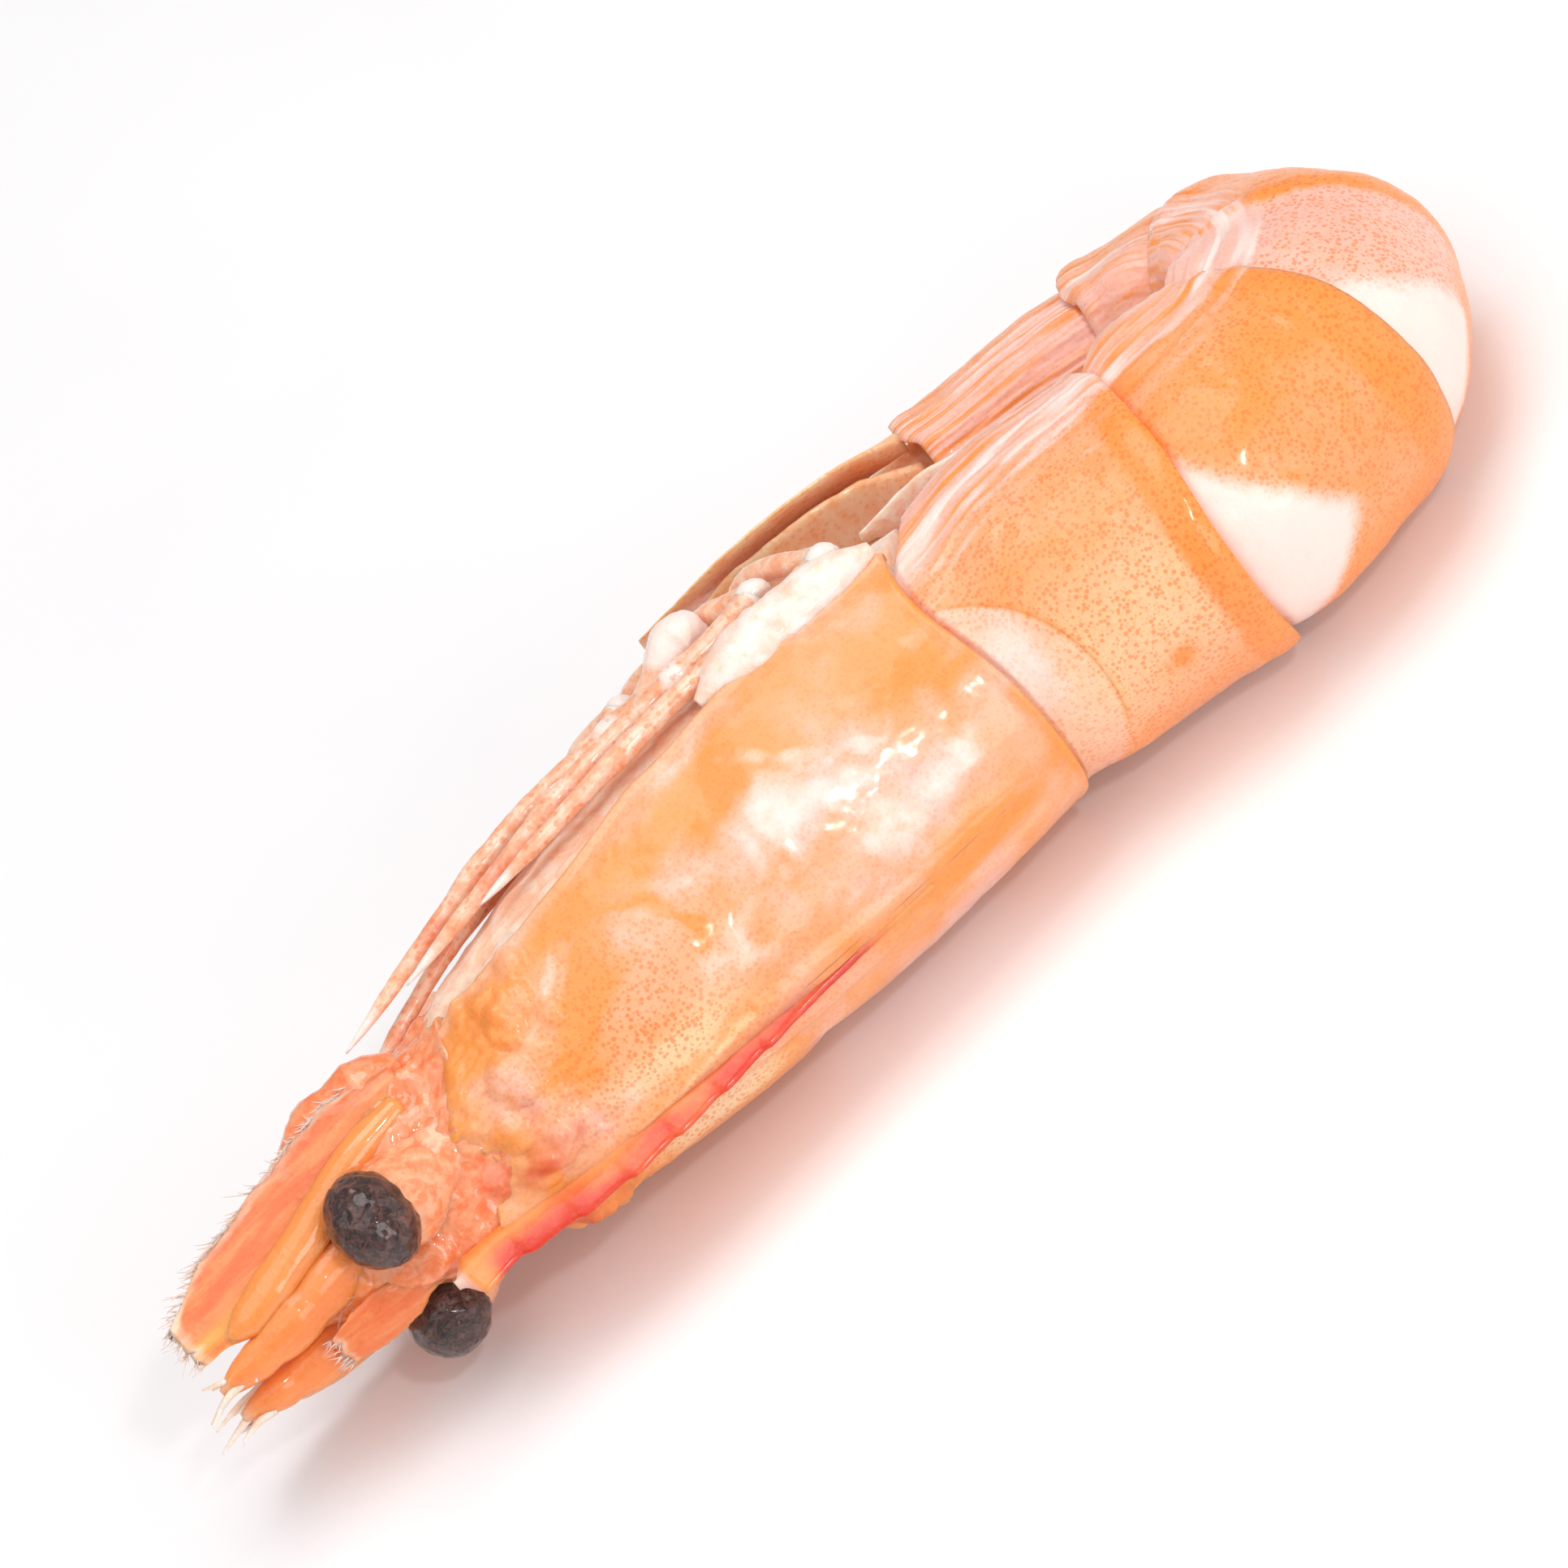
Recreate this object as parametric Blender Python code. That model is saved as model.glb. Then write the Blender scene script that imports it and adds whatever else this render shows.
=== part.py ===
"""A whole cooked prawn with its head and shell on, lying on its left side with the tail curled under.

Body axes: "forward" runs to the head, "dorsal" to the back, "right" to the prawn's right flank.
The prawn lies with forward along -X, dorsal along -Y and right up, so all heights are along +Z.
A spine of arc length s runs from the head (s below zero) through the rear edge of the carapace
(s = 0) to the tail. Sections stand square to the spine, with their angle t measured from the back:
90 degrees is the right flank, 180 degrees the belly and -90 degrees the left flank.
"""

import math

import bmesh
import bpy
import numpy as np
from mathutils import Vector

MM = 0.001

# Driving sizes in millimetres and degrees
CARAPACE_LENGTH = 43.0
FLANK_HEIGHT = 9.45
SHELL_GAP = 0.32
GROUND = 0.0
CARAPACE_ROLL = -3.0
ABDOMEN_ROLL = 13.5

# Each abdominal segment: length along the spine and the bend over it
NECK_BEND = -13.0
NECK_SPAN = (-4.0, 5.0)
SEGMENT_LENGTHS = [13.4, 9.5, 7.9, 7.4, 7.2, 12.5]
SEGMENT_BENDS = [4.0, 37.0, 52.0, 45.0, 36.0, 10.0]
TELSON_LENGTH = 17.5
TAIL_BEND = 4.0

# Outline of the body along the spine: (s, half width, height to the back, depth to the belly)
CARAPACE_OUTLINE = [
    (-43.0, 5.4, 8.4, 5.4),
    (-38.0, 7.2, 9.5, 7.4),
    (-30.0, 9.0, 10.4, 9.4),
    (-20.0, 9.8, 11.0, 10.6),
    (-10.0, 9.9, 11.1, 10.5),
    (0.0, 9.5, 10.7, 9.2),
]
ABDOMEN_OUTLINE = [
    (0.0, 9.2, 10.3, 6.8),
    (12.0, 9.4, 10.7, 6.4),
    (22.0, 9.0, 10.4, 5.7),
    (31.0, 8.0, 9.2, 5.1),
    (39.0, 6.8, 8.0, 4.6),
    (47.0, 5.4, 6.6, 4.1),
    (54.0, 4.6, 5.7, 3.8),
    (61.0, 3.9, 4.8, 3.2),
]
PLEURA_DEPTH = [1.5, 2.1, 1.9, 1.7, 1.5, 0.4]
PLEURA_ANGLE = 128.0
PLEURA_SPREAD = 24.0

AROUND = 28
CARAPACE_STATIONS = 20
SEGMENT_STATIONS = 8

MATERIALS = {
    "shell": ((1.0, 0.50, 0.25), 0.28),
    "head": ((1.0, 0.40, 0.16), 0.30),
    "eye": ((0.03, 0.02, 0.02), 0.20),
    "limb": ((1.0, 0.60, 0.42), 0.35),
    "swimmeret": ((1.0, 0.55, 0.40), 0.40),
}


def clear_scene():
    for old in list(bpy.data.objects):
        bpy.data.objects.remove(old, do_unlink=True)


def make_materials():
    for name, (colour, roughness) in MATERIALS.items():
        material = bpy.data.materials.new(name)
        material.use_nodes = True
        shader = material.node_tree.nodes["Principled BSDF"]
        shader.inputs["Base Color"].default_value = (*colour, 1.0)
        shader.inputs["Roughness"].default_value = roughness
        shader.inputs["Metallic"].default_value = 0.0


def smooth(x):
    x = min(max(x, 0.0), 1.0)
    return x * x * (3.0 - 2.0 * x)


def along(table, s, column):
    """A column of an outline at s, on a smooth curve through its rows."""
    rows = [row[0] for row in table]
    values = [row[column] for row in table]
    if s <= rows[0]:
        return values[0]
    if s >= rows[-1]:
        return values[-1]
    i = max(k for k in range(len(rows) - 1) if rows[k] <= s)
    slopes = np.gradient(values, rows)
    step = rows[i + 1] - rows[i]
    u = (s - rows[i]) / step
    return float(
        values[i] * (1 + 2 * u) * (1 - u) ** 2
        + slopes[i] * step * u * (1 - u) ** 2
        + values[i + 1] * u * u * (3 - 2 * u)
        + slopes[i + 1] * step * u * u * (u - 1)
    )


# The spine

SEGMENT_STARTS = [sum(SEGMENT_LENGTHS[:i]) for i in range(7)]
TAIL_START = SEGMENT_STARTS[6]
SPINE_STEP = 0.25


def bend_at(s):
    """Angle in degrees through which the spine has turned towards the belly at s."""
    turned_by = NECK_BEND * smooth((s - NECK_SPAN[0]) / (NECK_SPAN[1] - NECK_SPAN[0]))
    for start, length, bend in zip(SEGMENT_STARTS, SEGMENT_LENGTHS, SEGMENT_BENDS):
        turned_by += bend * min(max((s - start) / length, 0.0), 1.0)
    return turned_by + TAIL_BEND * min(max((s - TAIL_START) / TELSON_LENGTH, 0.0), 1.0)


def roll_at(s):
    """Roll of the back above the horizontal in degrees, turning over the first segment."""
    return CARAPACE_ROLL + (ABDOMEN_ROLL - CARAPACE_ROLL) * smooth((s - NECK_SPAN[0]) / 14.0)


def turned(first, second, degrees):
    """Both directions of a frame after the first has turned towards the second."""
    angle = math.radians(degrees)
    return (
        math.cos(angle) * first + math.sin(angle) * second,
        math.cos(angle) * second - math.sin(angle) * first,
    )


def spine_frames():
    """Place and tailward, dorsal and right directions at each step along the curled part."""
    roll = math.radians(CARAPACE_ROLL)
    place = Vector((0.0, 0.0, FLANK_HEIGHT))
    tailward = Vector((1.0, 0.0, 0.0))
    dorsal = Vector((0.0, -math.cos(roll), math.sin(roll)))
    right = Vector((0.0, math.sin(roll), math.cos(roll)))
    frames = [(place + NECK_SPAN[0] * tailward, tailward, dorsal, right)]
    place = frames[0][0]
    for k in range(int((TAIL_START + 2 * TELSON_LENGTH - NECK_SPAN[0]) / SPINE_STEP)):
        s = NECK_SPAN[0] + k * SPINE_STEP
        dorsal, right = turned(dorsal, right, roll_at(s + SPINE_STEP) - roll_at(s))
        dorsal, tailward = turned(dorsal, tailward, bend_at(s + SPINE_STEP) - bend_at(s))
        place = place + SPINE_STEP * tailward
        frames.append((place, tailward, dorsal, right))
    return frames


SPINE = spine_frames()


def frame_at(s):
    """Place on the spine with the tailward, dorsal and right directions there."""
    beyond = s - NECK_SPAN[0]
    if beyond <= 0.0:
        place, tailward, dorsal, right = SPINE[0]
        return place + beyond * tailward, tailward, dorsal, right
    k = min(int(beyond / SPINE_STEP), len(SPINE) - 2)
    u = beyond / SPINE_STEP - k
    return tuple(a.lerp(b, u) for a, b in zip(SPINE[k], SPINE[k + 1]))


def at(s, dorsal=0.0, right=0.0):
    place, _, back, flank = frame_at(s)
    return place + dorsal * back + right * flank


def ahead(forward, dorsal=0.0, right=0.0):
    """A place in the head, measured forward from the orbit."""
    return at(-CARAPACE_LENGTH - forward, dorsal, right)


# Mesh helpers


def new_object(name, mesh_maker, material):
    """An object in metres whose faces point out, resting on the ground where it would sink in."""
    bm = bmesh.new()
    mesh_maker(bm)
    for vertex in bm.verts:
        vertex.co.z = max(vertex.co.z, GROUND)
    bmesh.ops.scale(bm, vec=(MM, MM, MM), verts=bm.verts)
    bmesh.ops.triangulate(bm, faces=bm.faces)
    bmesh.ops.recalc_face_normals(bm, faces=bm.faces)
    mesh = bpy.data.meshes.new(name)
    bm.to_mesh(mesh)
    bm.free()
    mesh.shade_smooth()
    mesh.set_sharp_from_angle(angle=math.radians(50))
    mesh.materials.append(bpy.data.materials[material])
    obj = bpy.data.objects.new(name, mesh)
    bpy.context.scene.collection.objects.link(obj)
    return obj


def skin_rings(bm, rings, front, rear):
    """Joins closed rings of points, and closes both ends to a middle point each."""
    verts = [[bm.verts.new(p) for p in ring] for ring in rings]
    count = len(rings[0])
    for a, b in zip(verts, verts[1:]):
        for j in range(count):
            k = (j + 1) % count
            bm.faces.new((a[j], a[k], b[k], b[j]))
    for ring, middle in ((verts[0], front), (verts[-1], rear)):
        tip = bm.verts.new(middle)
        for j in range(count):
            bm.faces.new((ring[j], ring[(j + 1) % count], tip))


def curve_through(points, count):
    """Evenly spread points on a smooth curve through a few given ones."""
    given = [Vector(p) for p in points]
    padded = [2 * given[0] - given[1]] + given + [2 * given[-1] - given[-2]]
    spans = len(given) - 1
    found = []
    for n in range(count):
        u = n * spans / (count - 1)
        i = min(int(u), spans - 1)
        u -= i
        p0, p1, p2, p3 = padded[i : i + 4]
        found.append(
            0.5
            * (
                2 * p1
                + (p2 - p0) * u
                + (2 * p0 - 5 * p1 + 4 * p2 - p3) * u**2
                + (3 * p1 - p0 - 3 * p2 + p3) * u**3
            )
        )
    return found


def spread(values, u):
    """Straight lines through evenly spaced values, read at u from 0 to 1."""
    return float(np.interp(u, np.linspace(0, 1, len(values)), values))


def limb(name, points, widths, thicknesses, flat_towards, material, sides=8, count=12):
    """A closed tube along a curve, thin along flat_towards and wide across it."""
    path = curve_through(points, count)
    rings = []
    for n, place in enumerate(path):
        u = n / (count - 1)
        run = path[min(n + 1, count - 1)] - path[max(n - 1, 0)]
        run.normalize()
        across = run.cross(Vector(flat_towards)).normalized()
        thin = across.cross(run).normalized()
        half_width = spread(widths, u) / 2
        half_thick = spread(thicknesses, u) / 2
        ring = []
        for j in range(sides):
            angle = 2 * math.pi * (j + 0.5) / sides
            ring.append(place + half_width * math.cos(angle) * across + half_thick * math.sin(angle) * thin)
        rings.append(ring)
    return new_object(name, lambda bm: skin_rings(bm, rings, path[0], path[-1]), material)


def ellipsoid(name, centre, axes, radii, material, rings=8, sides=12):
    """An egg shape whose three radii lie along the given axes, the first one its long axis."""
    long_axis, second, third = [Vector(a).normalized() for a in axes]
    loops = []
    for n in range(1, rings):
        polar = math.pi * n / rings
        loop = []
        for j in range(sides):
            angle = 2 * math.pi * j / sides
            loop.append(
                centre
                - radii[0] * math.cos(polar) * long_axis
                + radii[1] * math.sin(polar) * math.cos(angle) * second
                + radii[2] * math.sin(polar) * math.sin(angle) * third
            )
        loops.append(loop)
    ends = centre - radii[0] * long_axis, centre + radii[0] * long_axis
    return new_object(name, lambda bm: skin_rings(bm, loops, *ends), material)


def join(target, others):
    """Fuses other objects into the target and removes them."""
    tools = bpy.data.collections.new(target.name + "_joined")
    bpy.context.scene.collection.children.link(tools)
    for other in others:
        bpy.context.scene.collection.objects.unlink(other)
        tools.objects.link(other)
    union = target.modifiers.new("join", "BOOLEAN")
    union.operation = "UNION"
    union.operand_type = "COLLECTION"
    union.collection = tools
    union.solver = "EXACT"
    graph = bpy.context.evaluated_depsgraph_get()
    fused = bpy.data.meshes.new_from_object(target.evaluated_get(graph))
    target.modifiers.clear()
    target.data = fused
    for other in others:
        bpy.data.objects.remove(other, do_unlink=True)
    bpy.data.collections.remove(tools)
    return target


# The carapace with its toothed keel

KEEL_START = -15.0
KEEL_FREE_LENGTH = 4.6
KEEL_THICKNESS = 1.3
KEEL_RISE = 1.7
TOOTH_COUNT = 7
TOOTH_SPACING = 3.5
TOOTH_HEIGHT = 0.75
FLANK_NOTCH = 1.6
REAR_LOBE = 1.2
ORBIT_NOTCH = 2.6
FRONT_SLANT = 7.5
LOWER_EDGE = 97.0
LEG_RECESS = 1.3


def carapace_rear(t):
    """How far the rear edge lies from the section s = 0 at angle t."""
    flank = math.exp(-(((abs(t) - 75.0) / 32.0) ** 2))
    lobe = math.exp(-(((abs(t) - 135.0) / 24.0) ** 2))
    return -FLANK_NOTCH * flank + REAR_LOBE * lobe - SHELL_GAP


def carapace_front(t):
    """Where the front edge lies at angle t: notched at the eye, slanted back towards the belly."""
    notch = math.exp(-(((abs(t) - 38.0) / 20.0) ** 2))
    slant = smooth((abs(t) - 70.0) / 110.0)
    return -CARAPACE_LENGTH + ORBIT_NOTCH * notch + FRONT_SLANT * slant


def carapace_radius_change(s, t):
    """Relief of the shell in millimetres: grooves, the gill bulge and the step behind the lower edge."""
    beside_keel = math.exp(-(((abs(t) - 16.0) / 8.0) ** 2)) * smooth((-s - 8.0) / 20.0)
    groove_s = -27.0 + 9.0 * math.sin(math.radians(min(abs(t), 110.0)))
    neck = math.exp(-(((s - groove_s) / 1.8) ** 2)) * math.exp(-(((abs(t) - 62.0) / 30.0) ** 2))
    gill_bulge = math.exp(-(((s + 13.0) / 10.0) ** 2)) * math.exp(-(((abs(t) - 100.0) / 32.0) ** 2))
    under = smooth((abs(t) - LOWER_EDGE) / 10.0)
    return -0.35 * beside_keel - 0.45 * neck + 0.35 * gill_bulge - LEG_RECESS * under


def carapace_point(s, t):
    angle = math.radians(t)
    egg = 1.0 - 0.14 * math.cos(angle)
    right = along(CARAPACE_OUTLINE, s, 1) * math.sin(angle) * egg
    height = along(CARAPACE_OUTLINE, s, 2 if math.cos(angle) > 0 else 3) * math.cos(angle)
    reach = math.hypot(right, height)
    scale = 1.0 + carapace_radius_change(s, t) / reach
    return at(s, height * scale, right * scale)


def carapace_shell(bm):
    angles = [360.0 * j / AROUND - 180.0 for j in range(AROUND)]
    rings = []
    for n in range(CARAPACE_STATIONS + 1):
        u = n / CARAPACE_STATIONS
        rings.append(
            [
                carapace_point(carapace_front(t) * (1 - u) + carapace_rear(t) * u, t)
                for t in angles
            ]
        )
    front = at(-CARAPACE_LENGTH + 3.0, 0.5)
    rear = at(-1.0 - SHELL_GAP, 0.0)
    skin_rings(bm, rings, front, rear)


def keel_outline():
    """The keel's side outline as (s, height) points: straight below, toothed along the back."""
    tip = -CARAPACE_LENGTH - KEEL_FREE_LENGTH
    top = []
    steps = 24
    for n in range(steps + 1):
        s = KEEL_START + (tip - KEEL_START) * n / steps
        top.append((s, along(CARAPACE_OUTLINE, s, 2) + KEEL_RISE * smooth((KEEL_START - s) / 24.0)))
    toothed = []
    first_tooth = tip + 1.6 + TOOTH_SPACING * (TOOTH_COUNT - 1)
    for n in range(TOOTH_COUNT):
        root = first_tooth - TOOTH_SPACING * n
        height = float(np.interp(-root, [-p[0] for p in top], [p[1] for p in top]))
        size = TOOTH_HEIGHT * (0.6 + 0.4 * smooth(n / 3))
        toothed.append((root + 1.9, height - 0.1))
        toothed.append((root - 0.7, height + size))
        toothed.append((root - 1.1, height + 0.15 * size))
    start = [p for p in top if p[0] > first_tooth + 2.4]
    blunt = [(tip + 0.3, top[-1][1] - 0.4), (tip, top[-1][1] - 1.7), (tip + 0.7, top[-1][1] - 3.0)]
    under = [(-CARAPACE_LENGTH + 1.0, 7.9), (-30.0, 9.0), (KEEL_START, 9.6)]
    return start + toothed + blunt + under


def keel_blade(bm):
    outline = keel_outline()
    sides = []
    for sign in (-1, 1):
        side = []
        for s, height in outline:
            surface = along(CARAPACE_OUTLINE, s, 2)
            thin = 1.0 - 0.55 * smooth((height - surface + 1.2) / 3.2)
            side.append(bm.verts.new(at(s, height, sign * KEEL_THICKNESS / 2 * thin)))
        sides.append(side)
    count = len(outline)
    bm.faces.new(sides[0])
    bm.faces.new(list(reversed(sides[1])))
    for j in range(count):
        k = (j + 1) % count
        bm.faces.new((sides[0][k], sides[0][j], sides[1][j], sides[1][k]))


def carapace():
    shell = new_object("carapace", carapace_shell, "shell")
    keel = new_object("keel", keel_blade, "shell")
    return join(shell, [keel])


# The abdomen


def segment_point(index, s, t):
    """The shell of an abdominal segment: a tucked front, a full middle and a flared rear edge."""
    start, length = SEGMENT_STARTS[index], SEGMENT_LENGTHS[index]
    u = (s - start) / length
    angle = math.radians(t)
    width = along(ABDOMEN_OUTLINE, s, 1)
    height = along(ABDOMEN_OUTLINE, s, 2 if math.cos(angle) > 0 else 3)
    right = width * math.sin(angle)
    up = height * math.cos(angle)
    reach = math.hypot(right, up)
    flap = math.exp(-(((abs(t) - PLEURA_ANGLE) / PLEURA_SPREAD) ** 2))
    lobe = math.sin(math.pi * min(max(0.04 + 0.92 * u, 0.0), 1.0)) ** 0.5
    tuck = 0.55 * (1.0 - smooth(u / 0.35)) * (0.4 + 0.6 * smooth((120.0 - abs(t)) / 60.0))
    flare = 0.25 * smooth((u - 0.75) / 0.25)
    scale = 1.0 + (flap * PLEURA_DEPTH[index] * lobe + flare - tuck) / reach
    return at(s, up * scale, right * scale)


def segment_front(index, t):
    """Where a segment starts: the first one follows the rear edge of the carapace."""
    if index == 0:
        return carapace_rear(t) + 2 * SHELL_GAP
    return SEGMENT_STARTS[index] + SHELL_GAP / 2


def segment_shell(index):
    def make(bm):
        angles = [360.0 * j / AROUND - 180.0 for j in range(AROUND)]
        end = SEGMENT_STARTS[index + 1] - SHELL_GAP / 2
        rings = []
        for n in range(SEGMENT_STATIONS + 1):
            u = n / SEGMENT_STATIONS
            rings.append(
                [segment_point(index, segment_front(index, t) * (1 - u) + end * u, t) for t in angles]
            )
        skin_rings(bm, rings, at(SEGMENT_STARTS[index] + SHELL_GAP / 2), at(end))

    return make


def abdomen():
    for index in range(6):
        new_object(f"abdomen_{index + 1}", segment_shell(index), "shell")


# The tail fan


def tail_point(back, dorsal, right):
    return at(TAIL_START + SHELL_GAP + back, dorsal, right)


def tail_fan():
    flat = frame_at(TAIL_START + 8.0)[2]
    side = frame_at(TAIL_START + 8.0)[3]
    limb(
        "telson",
        [tail_point(0.2, 1.6, 0.0), tail_point(8.0, 1.3, 0.0), tail_point(TELSON_LENGTH, 0.6, 0.0)],
        [5.2, 4.8, 3.8, 2.6, 0.7],
        [3.2, 2.8, 2.2, 1.5, 0.6],
        flat,
        "shell",
        sides=10,
        count=9,
    )
    for sign, name in ((1, "right"), (-1, "left")):
        lean = flat + 0.35 * sign * side
        limb(
            f"uropod_inner_{name}",
            [
                tail_point(1.0, -0.9, sign * 1.6),
                tail_point(8.0, -1.3, sign * 2.3),
                tail_point(18.5, -1.0, sign * 2.2),
            ],
            [1.6, 4.0, 4.6, 4.2, 1.4],
            [1.5, 1.0, 0.8, 0.7, 0.5],
            lean,
            "shell",
            count=10,
        )
        lean = flat + 1.1 * sign * side
        limb(
            f"uropod_outer_{name}",
            [
                tail_point(1.0, 0.2, sign * 3.7),
                tail_point(8.0, -0.2, sign * 4.3),
                tail_point(19.5, -0.4, sign * 3.9),
            ],
            [1.5, 4.2, 5.0, 4.8, 1.6],
            [1.3, 1.0, 0.8, 0.7, 0.5],
            lean,
            "shell",
            count=10,
        )


# The head in front of the carapace

EYE_RADII = (3.1, 2.6, 2.5)
EYE_FORWARD = 4.7
EYE_HEIGHT = 5.0
EYE_SIDES = {"right": 4.75, "left": 4.3}
HEAD_PLUG = 0.87
HEAD_STATIONS = 9
HEAD_FRONT = 9.6


def head_ring(u):
    """A section of the head: it fills the front of the carapace, then narrows between the eyes."""
    ring = []
    for j in range(AROUND // 2):
        t = 720.0 * j / AROUND - 180.0
        angle = math.radians(t)
        opening = HEAD_PLUG * carapace_front(t) - (1.0 - HEAD_PLUG) * (CARAPACE_LENGTH - 3.0)
        rear = carapace_point(opening - SHELL_GAP - 0.25, t)
        middle = at(opening)
        rear = middle + HEAD_PLUG * (rear - middle)
        front = ahead(HEAD_FRONT, 1.2 + 1.9 * math.cos(angle), 2.4 * math.sin(angle))
        socket = math.exp(-(((abs(t) - 48.0) / 26.0) ** 2)) * math.sin(math.pi * u)
        point = rear.lerp(front, u)
        axis = at(-CARAPACE_LENGTH, 0.6)
        axis.x = point.x
        ring.append(point - 1.9 * socket * (point - axis).normalized())
    return ring


def head_core():
    def make(bm):
        rings = [head_ring(n / HEAD_STATIONS) for n in range(HEAD_STATIONS + 1)]
        skin_rings(bm, rings, ahead(-3.0 + SHELL_GAP + 0.2, 0.5), ahead(HEAD_FRONT + 0.6, 1.2))

    core = new_object("head_core", make, "head")
    stalks = []
    for sign in (1, -1):
        path = [ahead(0.6, 1.4, sign * 0.8), ahead(2.0, 2.6, sign * 1.7), ahead(3.0, 3.4, sign * 2.3)]
        stalks.append(limb("eye_stalk", path, [3.0, 2.4], [3.0, 2.4], (1, 0, 0), "head", count=4))
    return join(core, stalks)


def eyes():
    for sign, name in ((1, "right"), (-1, "left")):
        centre = ahead(EYE_FORWARD, EYE_HEIGHT, sign * EYE_SIDES[name])
        inward = ahead(EYE_FORWARD - 2.2, EYE_HEIGHT - 2.0, sign * 1.4) - centre
        inward.normalize()
        second = inward.cross(Vector((1, 0, 0))).normalized()
        ellipsoid(
            f"eye_{name}",
            centre,
            (inward, second, inward.cross(second)),
            (EYE_RADII[1], EYE_RADII[0], EYE_RADII[2]),
            "eye",
            rings=10,
            sides=14,
        )


def antennae():
    """Antennules in front, broad scales outside them, and the small leaf between the eyes."""
    for sign, name in ((1, "right"), (-1, "left")):
        limb(
            f"antennule_{name}",
            [
                ahead(10.4, 3.0, sign * 1.3),
                ahead(14.0, 3.6, sign * 1.15),
                ahead(18.0, 3.2, sign * 1.0),
            ],
            [1.9, 2.0, 1.9, 1.6, 1.0],
            [2.4, 3.0, 2.6, 1.8, 0.9],
            (0, -1, 0),
            "head",
            count=8,
        )
        limb(
            f"antennal_base_{name}",
            [
                ahead(0.4, -2.4, sign * 5.7),
                ahead(3.4, -2.1, sign * 5.5),
                ahead(6.6, -1.5, sign * 4.8),
            ],
            [2.6, 4.2, 4.4, 3.4],
            [2.0, 3.6, 3.6, 2.6],
            (0, -0.8, sign),
            "head",
            count=7,
            sides=10,
        )
        limb(
            f"antennal_scale_{name}",
            [
                ahead(7.0, -0.5, sign * 5.8),
                ahead(12.0, 0.5, sign * 5.0),
                ahead(18.4, 1.3, sign * 3.5),
            ],
            [4.0, 6.2, 6.8, 5.8, 2.2],
            [1.2, 1.1, 0.9, 0.8, 0.5],
            (0, -0.8, sign),
            "head",
            count=11,
            sides=10,
        )
    limb(
        "head_leaf",
        [ahead(6.4, 5.6, -0.7), ahead(8.6, 5.8, -0.8), ahead(11.2, 5.2, -0.9)],
        [1.8, 2.8, 3.0, 1.6],
        [0.9, 0.9, 0.8, 0.5],
        (0, -1, 0.4),
        "head",
        count=7,
    )


# The limbs under the body

LEG_ROOTS = [-29.0, -24.5, -20.0, -15.5, -11.0]
LEG_KNEES = [-22.0, -17.5, -12.5, -8.0, -4.0]
LEG_TIPS = [-34.5, -43.0, -42.0, -37.0, -31.0]
RIGHT_LEG_ANGLES = [154.0, 144.0, 133.0, 121.5, 109.5]
LEFT_LEG_ANGLES = [-154.0, -144.5, -135.5, -126.0, -116.5]
FOREARM_OUT = 1.15
THIGH_OUT = 2.7
FOREARM_WIDTHS = [1.3, 1.75, 1.7, 1.5, 1.2, 0.4]
THIGH_WIDTHS = [1.0, 1.3, 1.4, 1.1]


def beside(s, t, out):
    """A place that stands clear of the carapace's surface at angle t."""
    surface = carapace_point(s, t)
    middle = at(s)
    return surface + out * (surface - middle).normalized()


def legs():
    """Each leg is folded at the knee: a thigh back from its root, and a forearm forward over the flank."""
    for name, angles, sign in (("right", RIGHT_LEG_ANGLES, 1), ("left", LEFT_LEG_ANGLES, -1)):
        for index, t in enumerate(angles):
            root, knee, tip = LEG_ROOTS[index], LEG_KNEES[index], LEG_TIPS[index]
            forearm_path = [
                beside(knee + 0.5, t, THIGH_OUT - 0.5),
                beside(knee - 4.0, t, FOREARM_OUT + 0.3),
                beside((knee + tip) / 2, t, FOREARM_OUT),
                beside(tip, t, FOREARM_OUT + 0.2),
            ]
            forearm = limb(
                f"leg_{name}_{index + 1}",
                forearm_path,
                FOREARM_WIDTHS,
                FOREARM_WIDTHS,
                (0, 0, 1),
                "limb",
                sides=7,
                count=10,
            )
            thigh_path = [
                beside(root, sign * 175.0, 0.9),
                beside((root + knee) / 2, (t + sign * 172.0) / 2, THIGH_OUT),
                beside(knee + 0.1, t, THIGH_OUT - 0.4),
            ]
            thigh = limb("thigh", thigh_path, THIGH_WIDTHS, THIGH_WIDTHS, (0, 0, 1), "limb", sides=7, count=7)
            join(forearm, [thigh])


def mouth_limbs():
    for sign, name in ((1, "right"), (-1, "left")):
        limb(
            f"mouth_limb_{name}",
            [
                beside(-35.5, sign * 173.0, 1.2),
                beside(-39.0, sign * 172.0, 1.5),
                ahead(3.0, -6.8, sign * 1.4),
                ahead(11.0, -5.8, sign * 1.5),
            ],
            [1.9, 1.9, 1.9, 1.7, 0.7],
            [1.9, 2.2, 2.2, 1.6, 0.7],
            (0, 0, 1),
            "limb",
            sides=6,
            count=12,
        )


# Swimmerets: root along the spine, then the reach of the leaf forward and away from the belly
SWIMMERETS = [
    (7.8, 8.6, 4.6, 3.0),
    (18.0, 9.0, 2.6, 2.9),
]


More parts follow.
